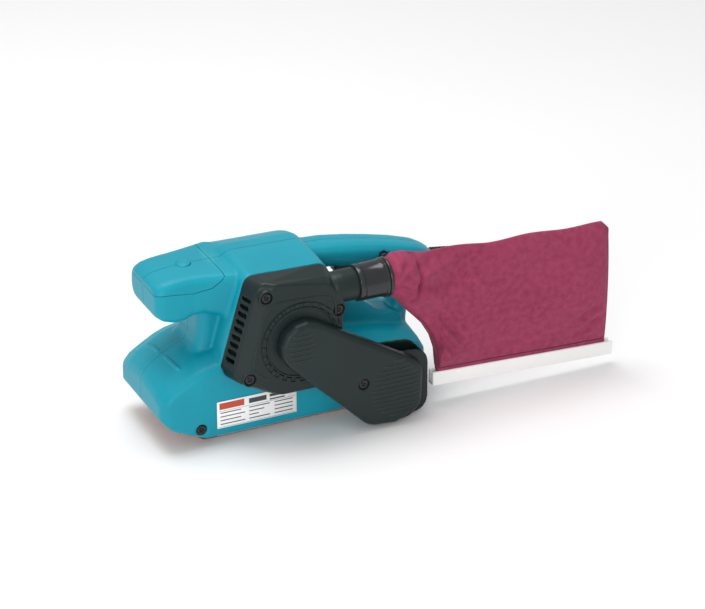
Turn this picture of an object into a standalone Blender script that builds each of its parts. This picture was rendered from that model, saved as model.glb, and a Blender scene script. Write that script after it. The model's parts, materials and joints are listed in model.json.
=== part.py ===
"""A compact handheld belt sander for a 76 x 457 mm sanding belt, with its dust bag and mains lead.

Metres. +X runs to the rear, -X to the front grip, -Y to the drive side, +Z up. The origin lies on the
sanding face of the belt, under the platen.
"""

import math

import bmesh
import bpy
from mathutils import Matrix, Vector

# ---- sizes that several pieces share ----------------------------------------------------------------
GAP = 0.0003            # left between two pieces that touch
RUNNING_GAP = 0.0006    # left round a piece that turns
WALL = 0.0028           # moulded housing wall
ARC_STEPS = 5           # straight pieces in one rounded corner
SLIVER = 0.00001        # the thinnest triangle that a piece keeps

# Sanding belt and what it runs on
BELT_WIDTH = 0.076
BELT_LENGTH = 0.457
BELT_THICK = 0.001
BELT_LEFT = -0.035      # Y of the belt's edge on the drive side
ROLLER_WIDTH = 0.074
DRIVE_R = 0.0195
DRIVE_X = 0.084
IDLER_R = 0.0155
IDLER_Z = 0.031
PLATEN_FRONT_X = -0.070
PLATEN_EDGE_R = 0.006
PLATEN_REAR_X = 0.060
SHAFT_R = 0.006
AXLE_R = 0.004

# Motor and the toothed belt drive
MOTOR_Z = 0.0885
MOTOR_SHAFT_R = 0.004
SMALL_PULLEY_R = 0.009
LARGE_PULLEY_R = 0.0145
DRIVE_BELT_THICK = 0.0012
DRIVE_BELT_WIDTH = 0.0076
DRIVE_BELT_LEFT = -0.0775
BEARING_R = 0.011
BEARING_WIDTH = 0.007
STATOR_R = 0.033
ARMATURE_R = 0.0185
STACK_LEFT = -0.014
STACK_RIGHT = 0.020
FAN_R = 0.032

# Housing
BASE_LEFT_ROOM = 0.012      # from the belt's edges and its front to the base's outer faces
BASE_RIGHT_ROOM = 0.006
BASE_FRONT_ROOM = 0.0102
BASE_REAR = 0.122
BASE_CORNER_R = 0.009
SKIRT_BOTTOM = 0.0075
SKIRT_RIGHT_BOTTOM = 0.046
BODY_LEFT = -0.044
BODY_RIGHT = 0.058
PARTING = 0.0           # Y of the face where the two housing halves meet
HANDLE_HALF = 0.017
NOSE_HALF = 0.0295

# Covers on the drive side
FAN_COVER_FACE = -0.068
ARM_FACE = -0.080
COVER_WALL = 0.0022
NOZZLE_Y = -0.056
NOZZLE_Z = 0.1246
NOZZLE_R = 0.0134
NOZZLE_SEAT = 0.001      # how much thinner the nozzle is under the collar
NOZZLE_START = 0.026
NOZZLE_END = 0.071
COLLAR_START = 0.051
COLLAR_END = 0.0765
COLLAR_WALL = 0.0026
SCREW_HEAD_R = 0.0042
SCREW_SHANK_R = 0.0019

# Dust bag and its closing strip
BAG_FRONT = 0.0803
BAG_REAR = 0.282
BAG_HALF = 0.0105
HEM_HALF = 0.0018
STRIP_ANGLE = math.radians(-2.5)
STRIP_LENGTH = 0.168
STRIP_HEIGHT = 0.0125
STRIP_WIDTH = 0.0085
STRIP_FLOOR = 0.0035

# Mains lead
CORD_R = 0.0035
COIL_MEAN_R = 0.036
COIL_WIDTH = 0.0215
COIL_HEIGHT = 0.0195
COIL_CENTRE = (0.250, 0.078)

# ---- colours ----------------------------------------------------------------------------------------
FINISHES = {
    # name: (colour, roughness, metallic)
    "teal_plastic": ((0.0, 0.33, 0.42, 1), 0.42, 0.0),
    "black_plastic": ((0.03, 0.045, 0.045, 1), 0.45, 0.0),
    "steel": ((0.62, 0.62, 0.60, 1), 0.3, 1.0),
    "black_steel": ((0.03, 0.03, 0.03, 1), 0.35, 0.6),
    "aluminium": ((0.72, 0.73, 0.74, 1), 0.4, 1.0),
    "copper": ((0.72, 0.36, 0.2, 1), 0.35, 1.0),
    "abrasive": ((0.30, 0.09, 0.05, 1), 0.95, 0.0),
    "rubber": ((0.03, 0.03, 0.03, 1), 0.8, 0.0),
    "cork": ((0.45, 0.31, 0.18, 1), 0.9, 0.0),
    "canvas": ((0.37, 0.07, 0.14, 1), 0.9, 0.0),
    "white_plastic": ((0.85, 0.85, 0.83, 1), 0.4, 0.0),
    "carbon": ((0.02, 0.02, 0.02, 1), 0.6, 0.0),
}


# ---- tools ------------------------------------------------------------------------------------------
def material(name):
    """The Principled BSDF finish of that name, made once."""
    if name in bpy.data.materials:
        return bpy.data.materials[name]
    colour, roughness, metallic = FINISHES[name]
    made = bpy.data.materials.new(name)
    made.use_nodes = True
    shader = made.node_tree.nodes["Principled BSDF"]
    shader.inputs["Base Color"].default_value = colour
    shader.inputs["Roughness"].default_value = roughness
    shader.inputs["Metallic"].default_value = metallic
    return made


def solid(name, points, faces, finish=None):
    """A closed mesh object from points and faces, with its faces turned outwards."""
    mesh = bpy.data.meshes.new(name)
    shape = bmesh.new()
    corners = [shape.verts.new(point) for point in points]
    for face in faces:
        shape.faces.new([corners[i] for i in face])
    bmesh.ops.recalc_face_normals(shape, faces=shape.faces)
    shape.to_mesh(mesh)
    shape.free()
    obj = bpy.data.objects.new(name, mesh)
    bpy.context.scene.collection.objects.link(obj)
    if finish:
        dress(obj, finish)
    return obj


def dress(obj, finish):
    """Clears an object's slivers, and gives it its finish and smooth shading between sharp edges."""
    clear_slivers(obj)
    obj.data.materials.clear()
    obj.data.materials.append(material(finish))
    obj.data.shade_smooth()
    obj.data.set_sharp_from_angle(angle=math.radians(32))


def loft(name, rings, finish=None, closed=False):
    """A skin over rings that all have the same number of points, capped at both ends unless it closes."""
    count = len(rings[0])
    points = [point for ring in rings for point in ring]
    faces = []
    for i in range(len(rings) - (0 if closed else 1)):
        here, there = i * count, (i + 1) % len(rings) * count
        for j in range(count):
            k = (j + 1) % count
            faces.append((here + j, here + k, there + k, there + j))
    if not closed:
        faces.append(tuple(range(count)))
        faces.append(tuple(range(len(points) - count, len(points))))
    return solid(name, points, faces, finish)


def at_y(outline, y):
    """An outline of (x, z) pairs, placed in the plane at that Y."""
    return [(x, y, z) for x, z in outline]


def prism(name, outline, left, right, finish=None):
    """An outline in the XZ plane, carried along Y."""
    return loft(name, [at_y(outline, left), at_y(outline, right)], finish)


def ring_prism(name, outer, inner, left, right, finish=None):
    """A wall between two outlines with the same number of points, carried along Y."""
    rings = [at_y(outer, left), at_y(outer, right), at_y(inner, right), at_y(inner, left)]
    return loft(name, rings, finish, closed=True)


def circle(x, z, radius, steps=24):
    """A round outline in the XZ plane."""
    turn = math.tau / steps
    return [(x + radius * math.cos(i * turn), z + radius * math.sin(i * turn)) for i in range(steps)]


def rod(name, x, z, radius, left, right, finish=None, steps=24):
    """A round bar along Y."""
    return prism(name, circle(x, z, radius, steps), left, right, finish)


def sleeve(name, x, z, radius, bore, left, right, finish=None, steps=24):
    """A round bush along Y."""
    outer, inner = circle(x, z, radius, steps), circle(x, z, bore, steps)
    return ring_prism(name, outer, inner, left, right, finish)


def turned(name, profile, start, direction, finish=None, steps=20, closed=False):
    """A profile of (distance along, radius) pairs, turned round an axis; an open profile is capped."""
    along = Vector(direction).normalized()
    side = along.orthogonal().normalized()
    up = along.cross(side)
    rings = []
    for distance, radius in profile:
        centre = Vector(start) + along * distance
        turn = math.tau / steps
        rings.append([
            centre + radius * (math.cos(i * turn) * side + math.sin(i * turn) * up)
            for i in range(steps)
        ])
    return loft(name, rings, finish, closed)


def block(name, low, high, finish=None):
    """A straight box between two corners."""
    corners = [(low[0], low[2]), (high[0], low[2]), (high[0], high[2]), (low[0], high[2])]
    return prism(name, corners, low[1], high[1], finish)


def disc_hull(discs, grow=0.0, steps=ARC_STEPS):
    """The outline round a ring of discs (x, z, radius), in anticlockwise order, as a string would lie."""
    count = len(discs)
    leave = []
    for i in range(count):
        (x1, z1, r1), (x2, z2, r2) = discs[i], discs[(i + 1) % count]
        heading = math.atan2(z2 - z1, x2 - x1)
        leave.append(heading - math.acos((r1 - r2) / math.hypot(x2 - x1, z2 - z1)))
    outline = []
    for i in range(count):
        x, z, radius = discs[i]
        first = leave[i - 1]
        sweep = (leave[i] - first) % math.tau
        for j in range(steps + 1):
            angle = first + sweep * j / steps
            outline.append((x + (radius + grow) * math.cos(angle), z + (radius + grow) * math.sin(angle)))
    return outline


def outline_length(outline):
    """The length of the way round an outline."""
    return sum(math.dist(a, b) for a, b in zip(outline, outline[1:] + outline[:1]))


def rounded_box(half_y, low_z, high_z, radius, steps=3):
    """A rounded rectangle of (y, z) pairs, centred on Y = 0."""
    radius = min(radius, half_y * 0.95, (high_z - low_z) * 0.475)
    corners = (
        (half_y - radius, low_z + radius, -90),
        (half_y - radius, high_z - radius, 0),
        (radius - half_y, high_z - radius, 90),
        (radius - half_y, low_z + radius, 180),
    )
    outline = []
    for y, z, first in corners:
        for i in range(steps + 1):
            angle = math.radians(first + 90 * i / steps)
            outline.append((y + radius * math.cos(angle), z + radius * math.sin(angle)))
    return outline


def combine(target, tool, operation):
    """Applies one Boolean to the target, and removes the tool."""
    modifier = target.modifiers.new(operation, "BOOLEAN")
    modifier.operation = operation
    modifier.solver = "MANIFOLD"
    modifier.object = tool
    graph = bpy.context.evaluated_depsgraph_get()
    mesh = bpy.data.meshes.new_from_object(target.evaluated_get(graph))
    target.modifiers.clear()
    target.data = mesh
    bpy.data.objects.remove(tool)
    return target


def clear_slivers(obj):
    """Merges the points and flattens the faces that Booleans leave too near each other to be made as a solid."""
    shape = bmesh.new()
    shape.from_mesh(obj.data)
    bmesh.ops.triangulate(shape, faces=shape.faces)
    bmesh.ops.dissolve_degenerate(shape, dist=SLIVER, edges=shape.edges)
    bmesh.ops.triangulate(shape, faces=shape.faces)
    shape.to_mesh(obj.data)
    shape.free()


def cut(target, *tools):
    for tool in tools:
        combine(target, tool, "DIFFERENCE")
    return target


def join(target, *tools):
    for tool in tools:
        combine(target, tool, "UNION")
    return target


def copy_of(obj, name):
    """A second object with its own copy of the mesh."""
    twin = bpy.data.objects.new(name, obj.data.copy())
    bpy.context.scene.collection.objects.link(twin)
    return twin


def turn_on(obj, pivot, parent=None):
    """Moves an object's origin to its joint's axis, and parents it to the joint's empty."""
    obj.data.transform(Matrix.Translation(-Vector(pivot)))
    if parent:
        obj.parent = parent
    else:
        obj.location = pivot
    return obj


def joint_empty(name, pivot):
    """An empty on a joint's axis, that the pieces which move together hang from."""
    empty = bpy.data.objects.new(name, None)
    empty.empty_display_size = 0.01
    empty.location = pivot
    bpy.context.scene.collection.objects.link(empty)
    return empty


def smooth_route(points, spacing):
    """Points about this far apart on a Catmull-Rom curve through the route's own points."""
    ends = [2 * points[0] - points[1], *points, 2 * points[-1] - points[-2]]
    route = []
    for before, first, last, after in zip(ends, ends[1:], ends[2:], ends[3:]):
        pieces = max(1, round((last - first).length / spacing))
        for i in range(pieces):
            t = i / pieces
            route.append(0.5 * (
                2 * first + (last - before) * t
                + (2 * before - 5 * first + 4 * last - after) * t**2
                + (3 * first - before - 3 * last + after) * t**3
            ))
    return [*route, points[-1]]


def cord_tube(name, points):
    """A round cord along a route."""
    curve = bpy.data.curves.new(name, "CURVE")
    curve.dimensions = "3D"
    curve.bevel_depth = CORD_R
    curve.bevel_resolution = 2
    curve.use_fill_caps = True
    spline = curve.splines.new("POLY")
    spline.points.add(len(points) - 1)
    for spot, point in zip(spline.points, points):
        spot.co = (*point, 1)
    tube = bpy.data.objects.new(name, curve)
    bpy.context.scene.collection.objects.link(tube)
    curve.materials.append(material("rubber"))
    return tube


# ---- sanding belt, its rollers and the platen --------------------------------------------------------
def idler_x():
    """X of the front roller that makes the way round the rollers and the platen's edge one belt long."""
    low, high = PLATEN_FRONT_X - 0.05, PLATEN_FRONT_X + 0.02
    for _ in range(40):
        middle = (low + high) / 2
        if outline_length(disc_hull(belt_discs(middle), BELT_THICK / 2, 16)) > BELT_LENGTH:
            low = middle
        else:
            high = middle
    return high


def belt_discs(front_x):
    """What the belt wraps round, anticlockwise seen from the drive side: platen's edge, rollers."""
    return (
        (PLATEN_FRONT_X, BELT_THICK + PLATEN_EDGE_R, PLATEN_EDGE_R),
        (DRIVE_X, BELT_THICK + DRIVE_R, DRIVE_R),
        (front_x, IDLER_Z, IDLER_R),
    )


IDLER_X = idler_x()
DRIVE_Z = BELT_THICK + DRIVE_R
BELT_RIGHT = BELT_LEFT + BELT_WIDTH
BASE_LEFT = BELT_LEFT - BASE_LEFT_ROOM
BASE_RIGHT = BELT_RIGHT + BASE_RIGHT_ROOM
BASE_FRONT = IDLER_X - IDLER_R - BELT_THICK - BASE_FRONT_ROOM
ROLLER_LEFT = BELT_LEFT + (BELT_WIDTH - ROLLER_WIDTH) / 2
ROLLER_RIGHT = ROLLER_LEFT + ROLLER_WIDTH
FRAME_LEFT = BASE_LEFT + WALL + GAP
FRAME_PLATE = FRAME_LEFT + 0.0032
BOSS_RIGHT = BELT_LEFT - 0.001
BOSS_LEFT = -0.060
BOSS_R = BEARING_R + 0.0035
SOLE_LOW = BELT_THICK + GAP + 0.001 + GAP + 0.0025 + GAP


def build_belt():
    discs = belt_discs(IDLER_X)
    belt = ring_prism(
        "sanding_belt",
        disc_hull(discs, BELT_THICK, 9), disc_hull(discs, GAP / 2, 9),
        BELT_LEFT, BELT_RIGHT, "abrasive",
    )
    return belt


def build_platen():
    """The steel plate that the belt runs over, and the cork between it and the frame's sole."""
    steel_low = BELT_THICK + GAP
    cork_low = steel_low + 0.001 + GAP
    left, right = ROLLER_LEFT, ROLLER_RIGHT
    block("platen_plate", (PLATEN_FRONT_X, left, steel_low), (PLATEN_REAR_X, right, steel_low + 0.001), "steel")
    block("platen_cork", (PLATEN_FRONT_X + 0.002, left, cork_low), (PLATEN_REAR_X, right, cork_low + 0.0025), "cork")


def build_frame():
    """The cast frame: a side plate on the drive side, the sole over the platen and the shaft's boss."""
    plate_discs = (
        (PLATEN_FRONT_X + 0.008, 0.017, 0.006), (DRIVE_X, DRIVE_Z, 0.015),
        (DRIVE_X - 0.006, 0.034, 0.010), (PLATEN_FRONT_X + 0.012, 0.040, 0.006),
    )
    frame = prism("frame", disc_hull(plate_discs), FRAME_LEFT, FRAME_PLATE, "aluminium")
    sole_top = SOLE_LOW + 0.006
    join(
        frame,
        block(
            "sole", (PLATEN_FRONT_X + 0.006, FRAME_LEFT + 0.001, SOLE_LOW),
            (PLATEN_REAR_X - 0.002, ROLLER_RIGHT, sole_top),
        ),
        rod("boss", DRIVE_X, DRIVE_Z, BOSS_R, BOSS_LEFT, BOSS_RIGHT),
        block("spring_post", (-0.030, -0.012, sole_top - 0.001), (-0.022, 0.018, 0.027)),
    )
    inner = BOSS_RIGHT - BEARING_WIDTH - GAP
    outer = BOSS_LEFT + BEARING_WIDTH + GAP
    cut(
        frame,
        rod("bore", DRIVE_X, DRIVE_Z, SHAFT_R + RUNNING_GAP, BOSS_LEFT - 0.01, BOSS_RIGHT + 0.01),
        rod("seat", DRIVE_X, DRIVE_Z, BEARING_R + GAP, inner, BOSS_RIGHT + 0.01),
        rod("seat", DRIVE_X, DRIVE_Z, BEARING_R + GAP, BOSS_LEFT - 0.01, outer),
    )
    dress(frame, "aluminium")
    for name, left in (("shaft_bearing_inner", BOSS_RIGHT - BEARING_WIDTH), ("shaft_bearing_outer", BOSS_LEFT)):
        sleeve(name, DRIVE_X, DRIVE_Z, BEARING_R, SHAFT_R + GAP, left, left + BEARING_WIDTH, "steel")


def build_drive_roller():
    """The rubber-covered roller, its shaft and the large pulley, which turn as one."""
    pivot = (DRIVE_X, ROLLER_LEFT, DRIVE_Z)
    hub = joint_empty("drive_roller_axis", pivot)
    pieces = [
        rod("drive_shaft", DRIVE_X, DRIVE_Z, SHAFT_R, DRIVE_BELT_LEFT, ROLLER_RIGHT + 0.001, "steel"),
        sleeve(
            "drive_roller", DRIVE_X, DRIVE_Z, DRIVE_R - GAP / 2, SHAFT_R + GAP,
            ROLLER_LEFT, ROLLER_RIGHT, "rubber", 32,
        ),
        sleeve(
            "large_pulley", DRIVE_X, DRIVE_Z, LARGE_PULLEY_R, SHAFT_R + GAP,
            DRIVE_BELT_LEFT, DRIVE_BELT_LEFT + DRIVE_BELT_WIDTH, "black_steel", 28,
        ),
    ]
    for piece in pieces:
        turn_on(piece, pivot, hub)


def build_idler():
    """The front roller on its axle and bearings, in a yoke that a spring and a slider push forward."""
    pivot = (IDLER_X, ROLLER_LEFT, IDLER_Z)
    arm_left = BELT_LEFT - 0.0045
    arm_right = BELT_RIGHT + 0.0015
    arm_thick = 0.003
    bridge_x = PLATEN_FRONT_X + 0.007
    slide = joint_empty("tension_slide", (bridge_x, 0, IDLER_Z))
    yoke_discs = (
        (bridge_x + 0.003, 0.0200, 0.004), (bridge_x + 0.003, 0.0300, 0.004), (IDLER_X, IDLER_Z, 0.0075),
    )
    yoke = prism("idler_yoke", disc_hull(yoke_discs), arm_left, arm_left + arm_thick, "steel")
    join(
        yoke,
        prism("arm", disc_hull(yoke_discs), arm_right, arm_right + arm_thick),
        block("bridge", (bridge_x, arm_left + 0.001, 0.0195), (bridge_x + 0.004, arm_right + 0.002, 0.0285)),
        block("tongue", (bridge_x + 0.003, -0.006, 0.0195), (bridge_x + 0.0135, 0.012, 0.0270)),
    )
    bore = AXLE_R + GAP
    cut(yoke, rod("bore", IDLER_X, IDLER_Z, bore, arm_left - 0.01, arm_right + 0.01))
    dress(yoke, "steel")
    axle = rod(
        "idler_axle", IDLER_X, IDLER_Z, AXLE_R, arm_left - 0.001, arm_right + arm_thick + 0.001, "steel", 16,
    )
    for piece in (yoke, axle):
        turn_on(piece, (bridge_x, 0, IDLER_Z), slide)

    hub = joint_empty("idler_axis", pivot)
    hub.parent = slide
    hub.matrix_parent_inverse = Matrix.Translation((-bridge_x, 0, -IDLER_Z))
    bearing_r = IDLER_R - 0.0035
    roller = rod("idler_roller", IDLER_X, IDLER_Z, IDLER_R - GAP / 2, ROLLER_LEFT, ROLLER_RIGHT, None, 28)
    cut(
        roller,
        rod("bore", IDLER_X, IDLER_Z, AXLE_R + 0.002, ROLLER_LEFT - 0.01, ROLLER_RIGHT + 0.01),
        rod("seat", IDLER_X, IDLER_Z, bearing_r + GAP, ROLLER_LEFT - 0.01, ROLLER_LEFT + BEARING_WIDTH + GAP),
        rod("seat", IDLER_X, IDLER_Z, bearing_r + GAP, ROLLER_RIGHT - BEARING_WIDTH - GAP, ROLLER_RIGHT + 0.01),
    )
    dress(roller, "aluminium")
    turn_on(roller, pivot, hub)
    for name, left in (
        ("idler_bearing_left", ROLLER_LEFT), ("idler_bearing_right", ROLLER_RIGHT - BEARING_WIDTH),
    ):
        bearing = sleeve(name, IDLER_X, IDLER_Z, bearing_r, bore, left, left + BEARING_WIDTH, "steel", 20)
        turn_on(bearing, pivot, hub)

    spring_start = bridge_x + 0.0135 + GAP
    helix_r, wire_r, turns, steps = 0.0032, 0.0006, 5, 10
    spring_length = -0.030 - GAP - spring_start - 2 * wire_r
    rings = []
    for i in range(turns * steps + 1):
        angle = math.tau * i / steps
        x = spring_start + wire_r + spring_length * i / (turns * steps)
        radial = Vector((0, math.cos(angle), math.sin(angle)))
        centre = Vector((x, 0.003, 0.0225)) + helix_r * radial
        rings.append([
            centre + wire_r * (math.cos(a) * radial + math.sin(a) * Vector((1, 0, 0)))
            for a in (math.tau * j / 6 for j in range(6))
        ])
    loft("tension_spring", rings, "steel")


# ---- motor -------------------------------------------------------------------------------------------
BRACKET_LEFT = BODY_LEFT + GAP
BRACKET_RIGHT = BRACKET_LEFT + 0.008
REAR_BEARING_LEFT = 0.0435
BRUSH_Y = 0.033
COMMUTATOR_R = 0.011


def build_motor():
    """The field with its windings, the armature that turns in it, the fan, the brushes and the bearings."""
    pivot = (0, STACK_LEFT, MOTOR_Z)
    hub = joint_empty("motor_axis", pivot)
    shaft_end = REAR_BEARING_LEFT + BEARING_WIDTH + 0.001
    shaft = rod("armature", 0, MOTOR_Z, MOTOR_SHAFT_R, DRIVE_BELT_LEFT, shaft_end, None, 16)
    join(
        shaft,
        rod("stack", 0, MOTOR_Z, ARMATURE_R, STACK_LEFT, STACK_RIGHT),
        turned(
            "winding", [(0, 0.008), (0.003, 0.015), (0.0145, 0.016), (0.0165, 0.013)],
            (0, STACK_LEFT - 0.0085, MOTOR_Z), (0, 1, 0),
        ),
    )
    dress(shaft, "copper")
    bore = MOTOR_SHAFT_R + GAP
    pieces = [
        shaft,
        sleeve("commutator", 0, MOTOR_Z, COMMUTATOR_R, bore, BRUSH_Y - 0.006, BRUSH_Y + 0.006, "copper"),
        sleeve(
            "small_pulley", 0, MOTOR_Z, SMALL_PULLEY_R, bore,
            DRIVE_BELT_LEFT, DRIVE_BELT_LEFT + DRIVE_BELT_WIDTH, "steel",
        ),
        build_fan(bore),
    ]
    for piece in pieces:
        turn_on(piece, pivot, hub)
    sleeve("field", 0, MOTOR_Z, STATOR_R, ARMATURE_R + RUNNING_GAP, STACK_LEFT, STACK_RIGHT, "steel", 32)
    sleeve("motor_bearing_left", 0, MOTOR_Z, BEARING_R, bore, BRACKET_RIGHT - BEARING_WIDTH, BRACKET_RIGHT, "steel")
    sleeve(
        "motor_bearing_right", 0, MOTOR_Z, BEARING_R, bore,
        REAR_BEARING_LEFT, REAR_BEARING_LEFT + BEARING_WIDTH, "steel",
    )
    for side, name in ((-1, "front"), (1, "rear")):
        near, far = COMMUTATOR_R + GAP, COMMUTATOR_R + 0.014
        ends = sorted((side * near, side * far))
        block(
            f"brush_{name}", (ends[0], BRUSH_Y - 0.003, MOTOR_Z - 0.003),
            (ends[1], BRUSH_Y + 0.003, MOTOR_Z + 0.003), "carbon",
        )
        ends = sorted((side * (near + 0.004), side * (far + 0.004)))
        outer, slot = 0.0055, 0.003 + GAP
        holder = block(
            f"brush_holder_{name}", (ends[0], BRUSH_Y - outer, MOTOR_Z - outer),
            (ends[1], BRUSH_Y + outer, MOTOR_Z + outer),
        )
        mouth = sorted((side * near, side * (far + GAP)))
        cut(holder, block(
            "slot", (mouth[0], BRUSH_Y - slot, MOTOR_Z - slot), (mouth[1], BRUSH_Y + slot, MOTOR_Z + slot),
        ))
        dress(holder, "copper")


def build_fan(bore):
    """The moulded fan: a hub and a disc with nine straight blades."""
    left, right, hub_r, blades = -0.062, -0.047, 0.010, 9
    fan = rod("cooling_fan", 0, MOTOR_Z, hub_r, left, right)
    join(fan, rod("disc", 0, MOTOR_Z, FAN_R - 0.001, right - 0.002, right - 0.0002, None, 36))
    for i in range(blades):
        blade = block("blade", (hub_r - 0.002, left + 0.001, -0.001), (FAN_R, right - 0.001, 0.001))
        blade.data.transform(Matrix.Rotation(math.tau * i / blades, 4, "Y"))
        blade.data.transform(Matrix.Translation((0, 0, MOTOR_Z)))
        join(fan, blade)
    cut(fan, rod("bore", 0, MOTOR_Z, bore, left - 0.01, right + 0.01, None, 16))
    dress(fan, "black_plastic")
    return fan


def build_drive_belt():
    discs = ((DRIVE_X, DRIVE_Z, LARGE_PULLEY_R), (0, MOTOR_Z, SMALL_PULLEY_R))
    ring_prism(
        "drive_belt",
        disc_hull(discs, GAP + DRIVE_BELT_THICK, 12), disc_hull(discs, GAP, 12),
        DRIVE_BELT_LEFT, DRIVE_BELT_LEFT + DRIVE_BELT_WIDTH, "rubber",
    )


# ---- housing -----------------------------------------------------------------------------------------
BODY_DISCS = (
    (0.012, 0.054, 0.009), (0.027, 0.074, 0.0095), (0.027, 0.115, 0.0095), (0.024, 0.1325, 0.010),
    (-0.032, 0.1345, 0.0095), (-0.0505, 0.068, 0.0105), (-0.028, 0.054, 0.009),
)

# Front grip, at each X: half width, lowest Z, highest Z
NOSE_STATIONS = (
    (-0.1072, 0.0255, 0.1140, 0.1355), (-0.1055, 0.0275, 0.1110, 0.1378), (-0.1000, 0.0290, 0.1068, 0.1402),
    (-0.0910, 0.0295, 0.1040, 0.1418), (-0.0830, 0.0298, 0.1046, 0.1424), (-0.0760, 0.0300, 0.1074, 0.1428),
    (-0.0660, 0.0315, 0.1090, 0.1430), (-0.0540, 0.0345, 0.1055, 0.1427), (-0.0420, 0.0375, 0.0960, 0.1425),
    (-0.0300, 0.0360, 0.0880, 0.1405), (-0.0100, 0.0250, 0.0800, 0.1370),
)

# Main handle, at each X: half width, lowest Z, highest Z
HANDLE_STATIONS = (
    (0.0100, 0.0165, 0.1210, 0.1425), (0.0300, 0.0168, 0.1200, 0.1405), (0.0500, 0.0170, 0.1185, 0.1393),
    (0.0730, 0.0170, 0.1150, 0.1357), (0.0920, 0.0168, 0.1115, 0.1318), (0.1130, 0.0165, 0.1065, 0.1268),
    (0.1310, 0.0160, 0.1005, 0.1212), (0.1390, 0.0150, 0.0980, 0.1168), (0.1455, 0.0120, 0.0985, 0.1120),
)


def shell_along_x(name, stations, radius, inset=0.0):
    """A skin over rounded boxes at each X; an inset makes the hollow inside it."""
    rings = []
    last = len(stations) - 1
    for i, (x, half, low, high) in enumerate(stations):
        x += inset if i == 0 and x < 0 else 0
        x -= inset if i == last and x > 0 else 0
        outline = rounded_box(half - inset, low + inset, high - inset, radius - inset / 2)
        rings.append([(x, y, z) for y, z in outline])
    return loft(name, rings)


def base_outline(drop, inset=0.0):
    """Side view of the base, a little longer than its plan; drop lowers the top towards the two sides."""
    front, rear = BASE_FRONT + inset - 0.001, BASE_REAR - inset + 0.001
    top = -drop - inset
    return [
        (BASE_FRONT + 0.037 - inset, SKIRT_BOTTOM - 3 * inset), (rear, SKIRT_BOTTOM - 3 * inset),
        (rear, 0.050 + top), (rear - 0.0067, 0.0583 + top), (0.090, 0.0645 + top), (0.050, 0.070 + top),
        (-0.050, 0.080 + top), (BASE_FRONT + 0.038, 0.0755 + top), (BASE_FRONT + 0.029, 0.0720 + top),
        (BASE_FRONT + 0.017, 0.0652 + top), (BASE_FRONT + 0.008, 0.0595 + top),
        (BASE_FRONT + 0.0025 + inset / 2, 0.0530 + top), (front, 0.0450 + top),
        (front, 0.0300), (BASE_FRONT + 0.0093 + inset, 0.0197 - 3 * inset),
    ]


def base_solid(name, inset=0.0):
    """The base: its side view carried across, with a crowned top and rounded corners in plan."""
    left, right = BASE_LEFT + inset, BASE_RIGHT - inset
    stations = (
        (left - 0.001, 0.0150), (left + 0.0015, 0.0105), (left + 0.005, 0.0075), (left + 0.018, 0.003), (-0.008, 0.0),
        (0.008, 0.0), (right - 0.018, 0.003), (right - 0.005, 0.0085), (right - 0.0015, 0.0115), (right + 0.001, 0.0160),
    )
    base = loft(name, [at_y(base_outline(drop, inset), y) for y, drop in stations])
    return combine(base, plan_block(inset), "INTERSECT")


def plan_block(inset=0.0):
    """The base's outline in plan, as a tall block."""
    radius = BASE_CORNER_R - inset
    left, right = BASE_LEFT + inset, BASE_RIGHT - inset
    front, rear = BASE_FRONT + inset, BASE_REAR - inset
    discs = (
        (front + radius, left + radius, radius), (rear - radius, left + radius, radius),
        (rear - radius, right - radius, radius), (front + radius, right - radius, radius),
    )
    outline = disc_hull(discs, 0.0, 6)
    return loft("plan", [[(x, y, z) for x, y in outline] for z in (-0.02, 0.1)])


def body_solid(name, inset=0.0):
    """The motor housing: open towards the fan cover, with a rounded end on the far side."""
    left = BODY_LEFT - (0.02 if inset > 0 else 0)
    # Y, how far the top is raised, how far the outline shrinks
    stations = (
        (left, 0.0, 1.0), (-0.030, 0.0015, 1.0), (-0.010, 0.0028, 1.0), (0.012, 0.0026, 1.0), (0.025, -0.0010, 1.0),
        (0.035, -0.0050, 0.995), (BODY_RIGHT - 0.015, -0.0085, 0.985), (BODY_RIGHT - 0.006, -0.0110, 0.94),
        (BODY_RIGHT - 0.0015, -0.0120, 0.86), (BODY_RIGHT, -0.0130, 0.78),
    )
    outline = disc_hull(BODY_DISCS, -inset)
    rings = []
    for y, lift, size in stations:
        y -= inset if y > BODY_RIGHT - 0.01 else 0
        rings.append(at_y([
            (x * size, MOTOR_Z + (z - MOTOR_Z) * size + lift * max(0.0, (z - MOTOR_Z) / 0.055))
            for x, z in outline
        ], y))
    return loft(name, rings)


# Column under the front grip, at each Z: X of its front
NECK_STATIONS = (
    (0.055, -0.082), (0.0735, -0.0765), (0.078, -0.0725), (0.086, -0.0700), (0.100, -0.0690), (0.122, -0.0700),
)


def neck_solid(name, inset=0.0):
    """The column under the front grip, flared at its foot."""
    rings = []
    for z, front in NECK_STATIONS:
        half = 0.0235 + max(0.0, 0.080 - z) * 0.12 - inset
        discs = (
            (front + 0.008, -half + 0.008, 0.008 - inset), (-0.030, -half + 0.008, 0.008 - inset),
            (-0.030, half - 0.008, 0.008 - inset), (front + 0.008, half - 0.008, 0.008 - inset),
        )
        rings.append([(x + inset, y, z) for x, y in disc_hull(discs, 0.0, 3)])
    return loft(name, rings)


# Rear post, at each Z: X of its front and of its back
POST_STATIONS = (
    (0.050, 0.1050, 0.1210), (0.066, 0.1060, 0.1222), (0.080, 0.1105, 0.1285),
    (0.096, 0.1165, 0.1355), (0.110, 0.1205, 0.1415),
)
POST_HALF = 0.0120
POST_R = 0.0072


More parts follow.
